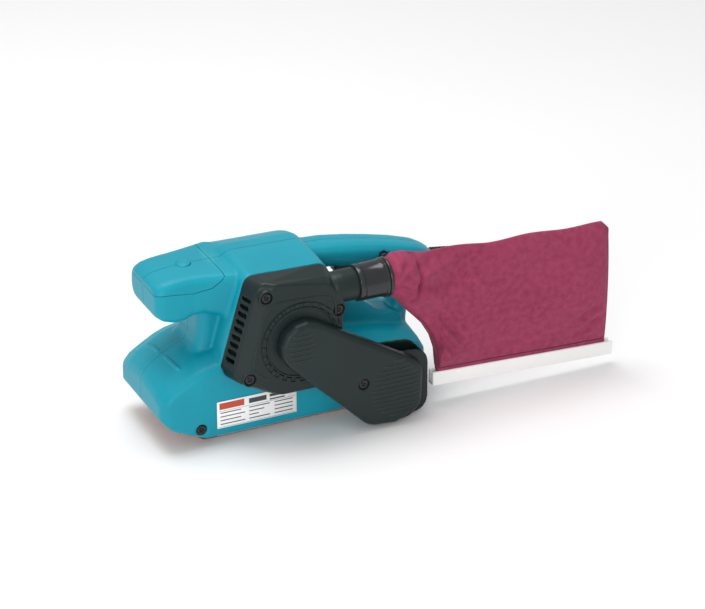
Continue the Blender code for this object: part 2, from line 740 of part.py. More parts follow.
def rear_solid(name, inset=0.0):
    """The low ridge behind the motor and the rear post that carries the handle's end."""
    ridge_half = HANDLE_HALF - inset
    ridge = [
        (0.020, 0.050), (0.113 - inset, 0.050), (0.113 - inset, 0.0655 - inset), (0.103, 0.0715 - inset),
        (0.096, 0.0722 - inset), (0.091, 0.0738 - inset), (0.077, 0.0862 - inset), (0.073, 0.0882 - inset),
        (0.059, 0.0900 - inset), (0.020, 0.095 - inset),
    ]
    post = prism(name, ridge, -ridge_half, ridge_half)
    rings = []
    for z, front, rear in POST_STATIONS:
        front, rear, half, radius = front + inset, rear - inset, POST_HALF - inset, POST_R - inset
        discs = (
            (front + radius, radius - half, radius), (rear - radius, radius - half, radius),
            (rear - radius, half - radius, radius), (front + radius, half - radius, radius),
        )
        rings.append([(x, y, z) for x, y in disc_hull(discs, 0.0, 3)])
    return join(post, loft("post", rings))


def housing_solid(inset=0.0):
    """Everything that the two housing halves and the front grip are cut from, or the hollow inside."""
    whole = base_solid("housing", inset)
    return join(
        whole,
        body_solid("body", inset),
        shell_along_x("nose", NOSE_STATIONS, 0.0085, inset),
        neck_solid("neck", inset),
        shell_along_x("handle", HANDLE_STATIONS, 0.0098, inset),
        rear_solid("rear", inset),
    )


def grip_zone(gap):
    """The part of the front grip above its seam."""
    seam = [
        (-0.130, 0.1320), (-0.096, 0.1322), (-0.076, 0.1302), (-0.062, 0.1328), (-0.0505, 0.1405),
    ]
    outline = [(x + gap, z - gap) for x, z in seam] + [(-0.0505 + gap, 0.170), (-0.130, 0.170)]
    return prism("zone", outline, -0.05, 0.05)


def half_space(side):
    """A block that keeps one side of the parting plane, half a gap away from it."""
    near = PARTING + side * GAP / 2
    far = side * 0.1
    low, high = sorted((near, far))
    return block("half", (-0.2, low, -0.05), (0.2, high, 0.2))


def split(whole, name):
    """The two halves of a shell, on each side of the parting plane."""
    left = copy_of(whole, f"{name}_left")
    right = whole
    right.name = f"{name}_right"
    combine(left, half_space(-1), "INTERSECT")
    combine(right, half_space(1), "INTERSECT")
    return left, right


# X and Z of the screws that hold the housing halves together, and Y of each head's seat
HOUSING_SCREWS = ((-0.088, 0.1205, 0.0275), (0.0450, 0.1295, 0.0135), (0.1265, 0.1090, 0.0131))
TRACKING_SCREW = (BASE_FRONT + 0.0335, 0.0160)
TRIGGER_PIVOT = (0.0605, 0, 0.1180)
LOCK_BUTTON = (0.0965, 0.1205)
LOCK_BUTTON_R = 0.0042
GUARD_START = Vector((0.1400, 0, 0.1062))
GUARD_WAY = Vector((0.994, 0.015, -0.10)).normalized()
GUARD_R = 0.0053
PLUG_SEAT = (-0.0720, 0, 0.1388)
PLUG_SEAT_R = 0.0056


def build_housing():
    """The two teal halves, with the two halves of the front grip's cover and the plug on its screw."""
    whole = cut(housing_solid(), housing_solid(WALL))
    rings = [
        at_y(circle(BASE_FRONT + 0.019 - y * 0.11, 0.0655 - abs(y) * 0.045, 0.0019, 8), y)
        for y in (-0.030, 0.0, 0.025)
    ]
    join(whole, loft("rib", rings))
    for x, z, seat in HOUSING_SCREWS:
        join(whole, rod("boss", x, z, 0.0052, -seat, seat))
    for left in (STACK_LEFT + 0.003, STACK_RIGHT - 0.006):
        rib = prism("field_rib", disc_hull(BODY_DISCS, -WALL * 0.6), left, left + 0.0025)
        cut(
            rib,
            rod("bore", 0, MOTOR_Z, STATOR_R + GAP, left - 0.01, left + 0.01, None, 32),
            block("air", (-0.020, left - 0.01, 0.120), (0.016, left + 0.01, 0.135)),
        )
        join(whole, rib)
    seat = cut(
        rod("seat", 0, MOTOR_Z, BEARING_R + 0.003, REAR_BEARING_LEFT, BODY_RIGHT - WALL * 0.5),
        rod("bore", 0, MOTOR_Z, BEARING_R + GAP, REAR_BEARING_LEFT - 0.01, REAR_BEARING_LEFT + BEARING_WIDTH + GAP),
        rod(
            "bore", 0, MOTOR_Z, MOTOR_SHAFT_R + 0.001,
            REAR_BEARING_LEFT, REAR_BEARING_LEFT + BEARING_WIDTH + 0.0025,
        ),
    )
    join(whole, seat)
    cut(
        whole,
        block("right_side", (BASE_FRONT + 0.014, BELT_RIGHT, -0.03), (0.150, BODY_RIGHT + 0.02, SKIRT_RIGHT_BOTTOM)),
        block("rear_mouth", (0.100, BELT_LEFT - 0.005, -0.03), (0.140, BODY_RIGHT + 0.02, 0.024)),
        rod("boss_hole", DRIVE_X, DRIVE_Z, BOSS_R + GAP, BASE_LEFT - 0.01, BASE_LEFT + 0.01),
        rod("screw_hole", TRACKING_SCREW[0], TRACKING_SCREW[1], 0.0046, BASE_LEFT - 0.01, BASE_LEFT + 0.01),
        block("trigger_slot", (0.0555, -0.0064, 0.100), (0.0880, 0.0064, 0.1205)),
        rod("button_hole", LOCK_BUTTON[0], LOCK_BUTTON[1], LOCK_BUTTON_R + GAP, -0.025, -0.010),
        turned(
            "cord_seat", [(-0.006, 0.0064), (0.0021, 0.0064), (0.0022, GUARD_R + GAP), (0.012, GUARD_R + GAP)],
            GUARD_START, GUARD_WAY,
        ),
    )
    for i in range(5):
        z = MOTOR_Z - 0.021 + 0.0105 * i
        for side in (-1, 1):
            ends = sorted((side * 0.017, side * 0.031))
            cut(whole, block(
                "inlet", (ends[0], BODY_RIGHT - 0.012, z - 0.0018), (ends[1], BODY_RIGHT + 0.01, z + 0.0018),
            ))
    grip = combine(copy_of(whole, "front_grip"), grip_zone(0), "INTERSECT")
    cut(grip, turned("seat", [(0, PLUG_SEAT_R), (0.01, PLUG_SEAT_R)], PLUG_SEAT, (-0.12, 0, 1)))
    cut(whole, grip_zone(GAP))
    left, right = split(whole, "housing")
    for x, z, seat in HOUSING_SCREWS:
        cut(
            right,
            rod("head", x, z, SCREW_HEAD_R + GAP, seat - 0.0025, 0.06, None, 16),
            rod("shank", x, z, SCREW_SHANK_R + GAP, -0.01, seat, None, 12),
        )
        cut(left, rod("shank", x, z, SCREW_SHANK_R + GAP, -0.0105, 0.01, None, 12))
        build_screw("housing_screw", x, z, seat - 0.0025 + GAP, 1, 0.010)
    for half in (left, right, *split(grip, "front_grip")):
        dress(half, "teal_plastic")
    turned(
        "grip_plug",
        [
            (0.0008, PLUG_SEAT_R - GAP), (0.0042, PLUG_SEAT_R - GAP), (0.0052, PLUG_SEAT_R - 0.0014),
            (0.0057, PLUG_SEAT_R - 0.0036),
        ],
        PLUG_SEAT, (-0.12, 0, 1), "teal_plastic",
    )


def build_screw(name, x, z, head_y, side, length):
    """A pan-head screw; its head's inner face is at head_y, and it points away from that side."""
    count = sum(1 for obj in bpy.data.objects if obj.name.startswith(name))
    ends = sorted((head_y - side * length, head_y + side * 0.001))
    shank = rod(f"{name}_{count + 1}", x, z, SCREW_SHANK_R, *ends, None, 10)
    profile = [(0, SCREW_HEAD_R), (0.0012, SCREW_HEAD_R), (0.0021, SCREW_HEAD_R * 0.72)]
    join(shank, turned("head", profile, (x, head_y, z), (0, side, 0), None, 16))
    dress(shank, "black_steel")


def build_bracket():
    """The plate behind the fan that holds the motor's left bearing and lets its air through."""
    bracket = prism("motor_bracket", disc_hull(BODY_DISCS, -WALL - GAP), BRACKET_LEFT, BRACKET_LEFT + 0.003)
    join(bracket, rod("boss", 0, MOTOR_Z, BEARING_R + 0.003, BRACKET_LEFT, BRACKET_RIGHT))
    cut(
        bracket,
        rod("seat", 0, MOTOR_Z, BEARING_R + GAP, BRACKET_RIGHT - BEARING_WIDTH - GAP, BRACKET_RIGHT + 0.01),
        rod("bore", 0, MOTOR_Z, MOTOR_SHAFT_R + RUNNING_GAP, BRACKET_LEFT - 0.01, BRACKET_RIGHT),
    )
    for i in range(6):
        angle = math.radians(30 + 60 * i)
        x, z = 0.022 * math.cos(angle), MOTOR_Z + 0.022 * math.sin(angle)
        cut(bracket, rod("air", x, z, 0.0062, BRACKET_LEFT - 0.01, BRACKET_LEFT + 0.01, None, 12))
    dress(bracket, "black_plastic")


# ---- fan cover with its nozzle, and the cover over the drive belt -------------------------------------
# Each station: Y, how far the slanted front side moves back, how far the top right corner drops
COVER_STATIONS = (
    (BODY_LEFT - GAP, 0.0, 0.0, 0.0), (-0.0615, 0.0050, 0.0035, 0.0),
    (-0.0668, 0.0128, 0.0050, 0.0), (FAN_COVER_FACE, 0.0140, 0.0050, -0.0012),
)
COVER_SCREWS = ((-0.0295, 0.1325), (-0.0445, 0.0635), (0.0330, 0.1095))
VENTS = 9
VENT_TOP = (-0.0408, 0.1274)
VENT_BOTTOM = (-0.0553, 0.0770)


def cover_discs(back, drop):
    """The body's outline with its slanted front side moved back and its top right corner lowered."""
    moved = []
    for x, z, radius in BODY_DISCS:
        front = x < -0.020
        corner = x > 0.020 and z > 0.125
        moved.append((x + back * front - drop * corner, z - drop * corner - 0.0010 * (back > 0.01), radius))
    return moved


def fan_cover_skin(name, inset=0.0):
    rings = []
    for y, back, drop, grow in COVER_STATIONS:
        if inset:
            y = max(y, FAN_COVER_FACE + inset) if y < -0.05 else y + 0.01
        rings.append(at_y(disc_hull(cover_discs(back, drop), grow - inset), y))
    return loft(name, rings)


def build_fan_cover():
    """The black cover over the fan, with its slots, screw bosses and the nozzle for the dust bag."""
    cover = fan_cover_skin("fan_cover")
    for x, z in COVER_SCREWS:
        join(cover, rod("boss", x, z, 0.0063, FAN_COVER_FACE + 0.0004, -0.050, None, 20))
    step = COLLAR_START - GAP - NOZZLE_START
    nozzle = [
        (0, NOZZLE_R - 0.004), (0.006, NOZZLE_R - 0.0008), (0.012, NOZZLE_R), (step, NOZZLE_R),
        (step + 0.0001, NOZZLE_R - NOZZLE_SEAT), (NOZZLE_END - NOZZLE_START, NOZZLE_R - NOZZLE_SEAT),
    ]
    join(cover, turned("nozzle", nozzle, (NOZZLE_START, NOZZLE_Y, NOZZLE_Z), (1, 0, 0), None, 28))
    cut(
        cover,
        fan_cover_skin("hollow", COVER_WALL),
        turned(
            "bore", [(0, NOZZLE_R - 0.0046), (0.012, NOZZLE_R - 0.0032), (0.08, NOZZLE_R - 0.0032)],
            (NOZZLE_START - 0.004, NOZZLE_Y, NOZZLE_Z), (1, 0, 0), None, 24,
        ),
        rod("shaft_hole", 0, MOTOR_Z, 0.008, -0.075, -0.060),
    )
    for x, z in COVER_SCREWS:
        join(cover, rod("post", x, z, 0.0055, FAN_COVER_FACE + 0.001, -0.046, None, 16))
        cut(
            cover,
            rod("recess", x, z, 0.0050, FAN_COVER_FACE - 0.003, FAN_COVER_FACE + 0.0032, None, 20),
            rod("shank", x, z, SCREW_SHANK_R + GAP, FAN_COVER_FACE, -0.03, None, 12),
        )
    for i in range(VENTS):
        share = i / (VENTS - 1)
        x = VENT_TOP[0] + (VENT_BOTTOM[0] - VENT_TOP[0]) * share
        z = VENT_TOP[1] + (VENT_BOTTOM[1] - VENT_TOP[1]) * share
        slot = block("slot", (-0.006, -0.0055, -0.0018), (0.006, 0.0055, 0.0018))
        slot.data.transform(Matrix.Rotation(math.radians(16), 4, "Z"))
        slot.data.transform(Matrix.Translation((x, -0.0525, z)))
        cut(cover, slot)
    cut(cover, base_solid("base", -GAP), body_solid("body", -GAP))
    dress(cover, "black_plastic")
    for x, z in COVER_SCREWS:
        build_screw("cover_screw", x, z, FAN_COVER_FACE + 0.0032 - GAP, -1, 0.014)


ARM_DISCS = (
    (0.061, 0.0175, 0.0140), (0.077, 0.0147, 0.0125), (0.0890, 0.0200, 0.0130),
    (0.0900, 0.0445, 0.0130), (0.0, MOTOR_Z, 0.022),
)
CASE_DISCS = (
    (0.066, 0.0165, 0.0130), (0.077, 0.0150, 0.0125), (0.0985, 0.0155, 0.0130),
    (0.0985, 0.0470, 0.0130), (0.0640, 0.0545, 0.0085),
)
ARM_SCREW = (0.0493, 0.0444)


def build_belt_cover():
    """The long black cover over the toothed belt, deeper behind its big end, with a rounded rim."""
    rings = [
        at_y(disc_hull(ARM_DISCS, grow, 6), y)
        for y, grow in (
            (FAN_COVER_FACE - GAP, 0.0), (ARM_FACE + 0.0045, 0.0), (ARM_FACE + 0.0015, -0.0012), (ARM_FACE, -0.0038),
        )
    ]
    cover = loft("belt_cover", rings)
    join(cover, prism("case", disc_hull(CASE_DISCS, 0.0, 6), FAN_COVER_FACE - 0.001, BASE_LEFT - GAP))
    belt_room = ((DRIVE_X, DRIVE_Z, LARGE_PULLEY_R + 0.0023), (0, MOTOR_Z, SMALL_PULLEY_R + 0.0035))
    cut(
        cover,
        prism("belt_room", disc_hull(belt_room, 0.0, 10), DRIVE_BELT_LEFT - 0.0008, FAN_COVER_FACE + 0.001),
        rod("boss_room", DRIVE_X, DRIVE_Z, LARGE_PULLEY_R + 0.0023, DRIVE_BELT_LEFT, BASE_LEFT + 0.005),
        block("pocket", (0.058, -0.0668, 0.0410), (0.1075, BASE_LEFT - GAP - COVER_WALL, 0.080)),
    )
    x, z = ARM_SCREW
    join(cover, rod("boss", x, z, 0.0050, ARM_FACE + 0.001, BASE_LEFT - GAP, None, 16))
    cut(
        cover,
        rod("recess", x, z, 0.0048, ARM_FACE - 0.003, ARM_FACE + 0.0032, None, 20),
        rod("shank", x, z, SCREW_SHANK_R + GAP, ARM_FACE, -0.03, None, 12),
    )
    dress(cover, "black_plastic")
    build_screw("belt_cover_screw", x, z, ARM_FACE + 0.0032 - GAP, -1, 0.026)


# ---- controls ----------------------------------------------------------------------------------------
LEVER_HUB = (-0.034, 0.0345)
LEVER_LOW = 0.0180
LEVER_HIGH = 0.0270


def build_controls():
    """The belt release lever and its pin, the tracking screw, the trigger, its switch and lock button."""
    x, y = LEVER_HUB
    lever = turned("release_lever", [(0, 0.0055), (LEVER_HIGH - LEVER_LOW, 0.0055)], (x, y, LEVER_LOW), (0, 0, 1))
    edge = BELT_RIGHT + 0.0008
    arm = block("arm", (x - 0.004, y + 0.002, LEVER_LOW + 0.001), (x + 0.005, edge + 0.003, LEVER_HIGH - 0.001))
    blade = block("blade", (x - 0.004, edge, LEVER_LOW + 0.0005), (x + 0.046, edge + 0.003, LEVER_HIGH - 0.0005))
    tip = block("tip", (x + 0.042, edge + 0.001, LEVER_LOW + 0.0005), (x + 0.046, edge + 0.009, LEVER_HIGH - 0.0005))
    join(lever, arm, blade, tip)
    cut(lever, turned("bore", [(-0.01, 0.0023), (0.03, 0.0023)], (x, y, LEVER_LOW), (0, 0, 1), None, 12))
    dress(lever, "steel")
    turn_on(lever, (x, y, LEVER_LOW))
    sole_top = SOLE_LOW + 0.006
    pin = [
        (0, 0.0035), (LEVER_LOW - GAP - sole_top - GAP, 0.0035), (LEVER_LOW - GAP - sole_top, 0.0020),
        (LEVER_HIGH + 0.001 - sole_top, 0.0020),
    ]
    turned("lever_pin", pin, (x, y, sole_top + GAP), (0, 0, 1), "steel", 12)

    x, z = TRACKING_SCREW
    profile = [
        (0, SCREW_SHANK_R), (0.0042, SCREW_SHANK_R), (0.0043, SCREW_HEAD_R), (0.0062, SCREW_HEAD_R),
        (0.0070, SCREW_HEAD_R * 0.75),
    ]
    screw = turned("tracking_screw", profile, (x, BELT_LEFT - 0.0052, z), (0, -1, 0), "black_steel", 16)
    turn_on(screw, (x, BASE_LEFT, z))

    low_z = 0.1075
    trigger_discs = (
        (0.0610, low_z + 0.0035, 0.0030), (0.0800, low_z + 0.0025, 0.0030), (0.0830, 0.1165, 0.0026),
        (0.0605, 0.1180, 0.0026),
    )
    trigger = prism("trigger", disc_hull(trigger_discs), -0.0058, 0.0058, "black_plastic")
    turn_on(trigger, TRIGGER_PIVOT)
    block("switch", (0.0590, -0.0085, 0.1238), (0.0860, 0.0085, 0.1285), "black_plastic")
    x, z = LOCK_BUTTON
    button = turned(
        "lock_button", [(0, 0.0036), (0.0085, LOCK_BUTTON_R), (0.0100, LOCK_BUTTON_R - 0.0008)],
        (x, -0.0095, z), (0, -1, 0), "black_plastic", 16,
    )
    turn_on(button, (x, -0.0095, z))


def build_label():
    """The rating label on the drive side of the base."""
    block(
        "rating_label", (-0.0655, BASE_LEFT - GAP - 0.0003, 0.0145), (0.0040, BASE_LEFT - GAP, 0.0385),
        "white_plastic",
    )


# ---- dust bag ----------------------------------------------------------------------------------------
def strip_top(x):
    """Z of the closing strip's upper edge at that X."""
    return 0.0298 + math.tan(STRIP_ANGLE) * (x - 0.122)


# Dust bag at each X: highest Z, lowest Z, half thickness, how much it's a flat panel instead of a tube
BAG_STATIONS = (
    (BAG_FRONT, 0.1394, 0.1098, 0.0148, 0.0), (0.0870, 0.1435, 0.1030, 0.0158, 0.10),
    (0.0950, 0.1438, 0.0935, 0.0155, 0.25), (0.1040, 0.1415, 0.0840, 0.0140, 0.45),
    (0.1120, 0.1400, 0.0750, 0.0120, 0.60), (0.1190, 0.1400, 0.0630, 0.0105, 0.75),
    (0.1240, 0.1398, 0.0480, 0.0110, 0.88), (0.1265, 0.1396, None, 0.0108, 0.97), (0.1300, 0.1394, None, 0.0108, 1.0),
    (0.1700, 0.1366, None, BAG_HALF, 1.0), (0.2300, 0.1352, None, BAG_HALF, 1.0),
    (0.2760, 0.1332, None, 0.0080, 1.0), (BAG_REAR, 0.1270, None, 0.0040, 1.0),
)


def bag_section(top, low, half, flat, hem_top):
    """Half of a section, top to bottom: part tube, part panel that ends in a thin hem."""
    steps = 8
    side = []
    for i in range(steps + 1):
        share = i / steps
        tube = (half * math.sin(math.pi * share), top - (top - low) * (1 - math.cos(math.pi * share)) / 2)
        fall = share / (1 - 1 / steps)
        if i < steps - 1:
            panel = (half * math.sin(math.pi * min(1.0, fall * 0.9 + 0.04)) ** 0.6, top + (hem_top - top) * fall)
        else:
            panel = (HEM_HALF, hem_top if i == steps - 1 else low)
        if i in (0, steps):
            tube = (0.0008, tube[1])
            panel = (HEM_HALF if i else 0.0008, panel[1])
        side.append(tuple(a + (b - a) * flat for a, b in zip(tube, panel)))
    return side


def build_bag():
    """The collar that pushes onto the nozzle, the ring that holds the bag, the bag and its strip."""
    start = (COLLAR_START, NOZZLE_Y, NOZZLE_Z)
    bore = NOZZLE_R - NOZZLE_SEAT + GAP
    outer = bore + COLLAR_WALL
    length = COLLAR_END - COLLAR_START
    profile = [
        (0, outer - 0.0006), (0.001, outer), (length - 0.0026, outer), (length - 0.0024, outer + 0.0011),
        (length, outer + 0.0011), (length, bore), (0, bore),
    ]
    collar = turned("bag_collar", profile, start, (1, 0, 0), "black_plastic", 28, True)
    turn_on(collar, start)
    swing = (BAG_FRONT, NOZZLE_Y, NOZZLE_Z)
    hub = joint_empty("bag_axis", swing)
    ring_low, ring_high = COLLAR_END + GAP, BAG_FRONT - GAP
    middle, half = (ring_low + ring_high) / 2, (ring_high - ring_low) / 2
    turns = [math.tau * i / 6 for i in range(6)]
    section = [(math.cos(a) * half, outer - 0.0002 + math.sin(a) * half) for a in turns]
    ring = turned("bag_ring", section, (middle, NOZZLE_Y, NOZZLE_Z), (1, 0, 0), "steel", 24, True)
    rings = []
    for x, top, low, bag_half, flat in BAG_STATIONS:
        hem_top = strip_top(x) + 0.0015
        low = strip_top(x) - 0.0080 if low is None else low
        side = bag_section(top, low, bag_half, flat, hem_top)
        outline = side + [(-y, z) for y, z in reversed(side)]
        rings.append([(x, NOZZLE_Y + y, z) for y, z in outline])
    bag = loft("dust_bag", rings, "canvas")
    for piece in (ring, bag):
        turn_on(piece, swing, hub)
    wide, slot = STRIP_WIDTH / 2, HEM_HALF + GAP
    section = [
        (-wide, 0), (wide, 0), (wide, STRIP_HEIGHT), (slot, STRIP_HEIGHT),
        (slot, STRIP_FLOOR), (-slot, STRIP_FLOOR), (-slot, STRIP_HEIGHT), (-wide, STRIP_HEIGHT),
    ]
    ends = (0.1205, 0.1205 + STRIP_LENGTH)
    rings = [[(x, NOZZLE_Y + y, strip_top(x) - STRIP_HEIGHT + z) for y, z in section] for x in ends]
    clip = loft("bag_clip", rings, "white_plastic")
    turn_on(clip, (ends[0], NOZZLE_Y, strip_top(ends[0])))


# ---- mains lead --------------------------------------------------------------------------------------
GUARD_LENGTH = 0.046
CORD_EXIT = GUARD_START + GUARD_WAY * (GUARD_LENGTH + GAP)
LEAD_ROUTE = (
    CORD_EXIT, CORD_EXIT + GUARD_WAY * 0.008, (0.2090, 0.0030, 0.0985), (0.2195, 0.0060, 0.0860),
    (0.2255, 0.0090, 0.0690), (0.2285, 0.0125, 0.0500), (0.2325, 0.0165, 0.0315), (0.2400, 0.0210, 0.0160),
    (0.2510, 0.0250, 0.0065), (0.2630, 0.0280, 0.0038),
)
TAIL_ROUTE = (
    (0.3012, 0.0720, 0.0038), (0.3012, 0.0830, 0.0040), (0.3008, 0.0940, 0.0060), (0.3000, 0.1040, 0.0088),
    (0.2996, 0.1120, 0.0099),
)
MAINS_PLUG = (0.2995, 0.1130, 0.0100)


def build_cord():
    """The guard at the handle's end, the lead down to the floor, its coil, and the plug beside it."""
    profile = [
        (0, 0.0060), (0.0018, 0.0060), (0.0020, GUARD_R), (0.0066, GUARD_R), (0.0072, GUARD_R + 0.0009),
        (0.0140, GUARD_R + 0.0004), (0.0300, 0.0050), (GUARD_LENGTH, 0.0043),
    ]
    turned("cord_guard", profile, GUARD_START, GUARD_WAY, "rubber", 16)
    for name, route in (("cord_lead", LEAD_ROUTE), ("cord_tail", TAIL_ROUTE)):
        cord_tube(name, smooth_route([Vector(point) for point in route], CORD_R * 4))
    inner, outer = COIL_MEAN_R - COIL_WIDTH / 2, COIL_MEAN_R + COIL_WIDTH / 2
    edge = 0.003
    profile = [
        (GAP, inner + edge), (GAP, outer - edge), (edge, outer), (COIL_HEIGHT - edge, outer),
        (COIL_HEIGHT, outer - edge), (COIL_HEIGHT, inner + edge), (COIL_HEIGHT - edge, inner), (edge, inner),
    ]
    turned("cord_coil", profile, (*COIL_CENTRE, 0), (0, 0, 1), "rubber", 28, True)

    x, y, z = MAINS_PLUG
    stations = (
        (0, 0.0045, 0.0045), (0.008, 0.0055, 0.0055), (0.014, 0.0100, 0.0080), (0.024, 0.0150, 0.0095),
        (0.036, 0.0170, 0.0096), (0.038, 0.0160, 0.0086),
    )
    rings = []
    for along, half, tall in stations:
        rings.append([(x + side, y + along, z + up) for side, up in rounded_box(half, -tall, tall, 0.0065)])
    plug = loft("mains_plug", rings)
    for side in (-0.0095, 0.0095):
        join(plug, rod("pin", x + side, z, 0.0022, y + 0.036, y + 0.057, None, 12))
    dress(plug, "rubber")


# ---- the whole sander ---------------------------------------------------------------------------------
def main():
    for obj in list(bpy.data.objects):
        bpy.data.objects.remove(obj)
    build_belt()
    build_platen()
    build_frame()
    build_drive_roller()
    build_idler()
    build_motor()
    build_bracket()
    build_drive_belt()
    build_housing()
    build_fan_cover()
    build_belt_cover()
    build_controls()
    build_label()
    build_bag()
    build_cord()


main()
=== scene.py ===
"""A handheld belt sander: the looks of each piece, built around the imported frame, in metres."""

import json
import math

import bmesh
import bpy
import numpy as np
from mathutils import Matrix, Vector


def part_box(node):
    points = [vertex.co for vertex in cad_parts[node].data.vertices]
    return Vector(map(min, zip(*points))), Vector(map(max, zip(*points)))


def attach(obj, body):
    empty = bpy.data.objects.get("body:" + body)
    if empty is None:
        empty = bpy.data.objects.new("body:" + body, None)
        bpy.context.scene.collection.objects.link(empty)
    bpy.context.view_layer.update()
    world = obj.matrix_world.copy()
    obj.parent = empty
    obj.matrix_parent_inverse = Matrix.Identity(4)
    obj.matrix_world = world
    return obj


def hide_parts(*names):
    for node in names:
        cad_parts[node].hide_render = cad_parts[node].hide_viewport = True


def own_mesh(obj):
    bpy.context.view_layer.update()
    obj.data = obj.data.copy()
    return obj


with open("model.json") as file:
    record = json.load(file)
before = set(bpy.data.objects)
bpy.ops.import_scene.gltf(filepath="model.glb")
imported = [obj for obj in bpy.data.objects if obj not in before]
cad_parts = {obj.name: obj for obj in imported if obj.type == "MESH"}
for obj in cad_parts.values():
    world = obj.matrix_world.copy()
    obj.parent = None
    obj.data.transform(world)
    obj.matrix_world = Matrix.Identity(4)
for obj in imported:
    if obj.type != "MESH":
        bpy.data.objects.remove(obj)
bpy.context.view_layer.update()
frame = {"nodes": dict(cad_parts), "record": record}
record = frame["record"]
slot_of = {entry["node"]: entry["material_slot"] for entry in record["subparts"]}


# ---- camera and light -----------------------------------------------------------------------------------
# A view from the drive side, a little above: one large soft light overhead, a smaller one from the drive side
# and the front of the tool, and an even white world.
LOOK_AT = Vector((0.074, -0.0043, 0.0768))
CAMERA_PLACE = (-0.907, -2.108, 1.249)
SENSOR_MM, LENS_MM = 36, 162
TOP_WATTS, SIDE_WATTS, WORLD_STRENGTH = 13, 8, 0.63

camera_data = bpy.data.cameras.new("camera")
camera = bpy.data.objects.new("camera", camera_data)
camera.location = CAMERA_PLACE
camera.rotation_mode = "QUATERNION"
camera.rotation_quaternion = (LOOK_AT - camera.location).to_track_quat("-Z", "Y")
camera_data.sensor_width = SENSOR_MM
camera_data.lens = LENS_MM
camera_data.clip_start = 0.05
bpy.context.scene.collection.objects.link(camera)
bpy.context.scene.camera = camera
# Standard shows each colour as it is set.
bpy.context.scene.view_settings.view_transform = "Standard"


def area_light(name, place, aim, size, watts):
    """A square soft light at place, turned to shine at aim."""
    data = bpy.data.lights.new(name, "AREA")
    data.size = size
    data.energy = watts
    lamp = bpy.data.objects.new(name, data)
    lamp.location = place
    lamp.rotation_euler = (Vector(aim) - Vector(place)).to_track_quat("-Z", "Y").to_euler()
    bpy.context.scene.collection.objects.link(lamp)


area_light("top_light", (-0.15, 0.25, 1.5), (0.05, 0, 0.05), 0.9, TOP_WATTS)
area_light("side_light", (-0.9, -1.3, 0.6), (0.05, 0, 0.06), 0.8, SIDE_WATTS)
world = bpy.data.worlds.new("studio")
world.use_nodes = True
world.node_tree.nodes["Background"].inputs["Color"].default_value = (1, 1, 1, 1)
world.node_tree.nodes["Background"].inputs["Strength"].default_value = WORLD_STRENGTH
bpy.context.scene.world = world


# ---- making meshes and placing them ---------------------------------------------------------------------
SHARP_ANGLE = math.radians(35)
CUT_SHARP_ANGLE = math.radians(50)
WELD = 1e-6


def surface(name, rows, wrap_rows=False, wrap_columns=True):
    """A mesh over an array of points: row by row, each point joins its neighbours and the next row's. With
    wrap_columns each row is a ring; with wrap_rows the last row meets the first, and otherwise caps close the
    end rings."""
    rows = np.asarray(rows, float)
    count, width = rows.shape[:2]
    i = np.arange(count if wrap_rows else count - 1)[:, None]
    j = np.arange(width if wrap_columns else width - 1)[None, :]
    here, there = i * width, (i + 1) % count * width
    k = (j + 1) % width
    faces = np.stack([here + j, here + k, there + k, there + j], axis=-1).reshape(-1, 4).tolist()
    if wrap_columns and not wrap_rows:
        faces.append(list(range(width)))
        faces.append(list(range(count * width - width, count * width)))
    mesh = bpy.data.meshes.new(name)
    mesh.from_pydata(rows.reshape(-1, 3).tolist(), [], faces)
    return linked(name, mesh)


def linked(name, mesh):
    """An object for the mesh, with its faces turned outwards and smooth shading up to 35 degrees."""
    work = bmesh.new()
    work.from_mesh(mesh)
    bmesh.ops.recalc_face_normals(work, faces=work.faces)
    work.to_mesh(mesh)
    work.free()
    mesh.shade_smooth()
    mesh.set_sharp_from_angle(angle=SHARP_ANGLE)
    piece = bpy.data.objects.new(name, mesh)
    bpy.context.scene.collection.objects.link(piece)
    return piece


def place(piece, finish, body, *nodes, slot=None):
    """Gives a new piece its finish and its body, and hides the CAD nodes that it stands for."""
    piece.data.materials.clear()
    piece.data.materials.append(finish)
    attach(piece, body)
    if nodes:
        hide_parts(*nodes)
    return piece


# ---- finishes that several pieces share -----------------------------------------------------------------
# Moulded plastics have a fine eroded texture, uneven gloss and a painted highlight on their convex edges;
# metals are turned or ground in one direction. Each effect is a node group, placed with its own numbers.
def group(name, inputs, outputs):
    """An empty shader node group with named sockets, and its input and output nodes."""
    tree = bpy.data.node_groups.new(name, "ShaderNodeTree")
    for label, kind, value in inputs:
        socket = tree.interface.new_socket(label, in_out="INPUT", socket_type=kind)
        if value is not None:
            socket.default_value = value
    for label, kind in outputs:
        tree.interface.new_socket(label, in_out="OUTPUT", socket_type=kind)
    return tree, tree.nodes.new("NodeGroupInput"), tree.nodes.new("NodeGroupOutput")


VECTOR, NUMBER = "NodeSocketVector", "NodeSocketFloat"

grain_tree, grain_in, grain_out = group(
    "moulded_grain",
    [("Vector", VECTOR, None), ("Fineness", NUMBER, 1500.0), ("Patch Size", NUMBER, 20.0)],
    [("Grain", NUMBER), ("Patches", NUMBER)],
)
fine_noise = grain_tree.nodes.new("ShaderNodeTexNoise")
fine_noise.inputs["Detail"].default_value = 1.5
patch_noise = grain_tree.nodes.new("ShaderNodeTexNoise")
patch_noise.inputs["Detail"].default_value = 3
for noise, size, output in ((fine_noise, "Fineness", "Grain"), (patch_noise, "Patch Size", "Patches")):
    grain_tree.links.new(grain_in.outputs["Vector"], noise.inputs["Vector"])
    grain_tree.links.new(grain_in.outputs[size], noise.inputs["Scale"])
    grain_tree.links.new(noise.outputs["Fac"], grain_out.inputs[output])
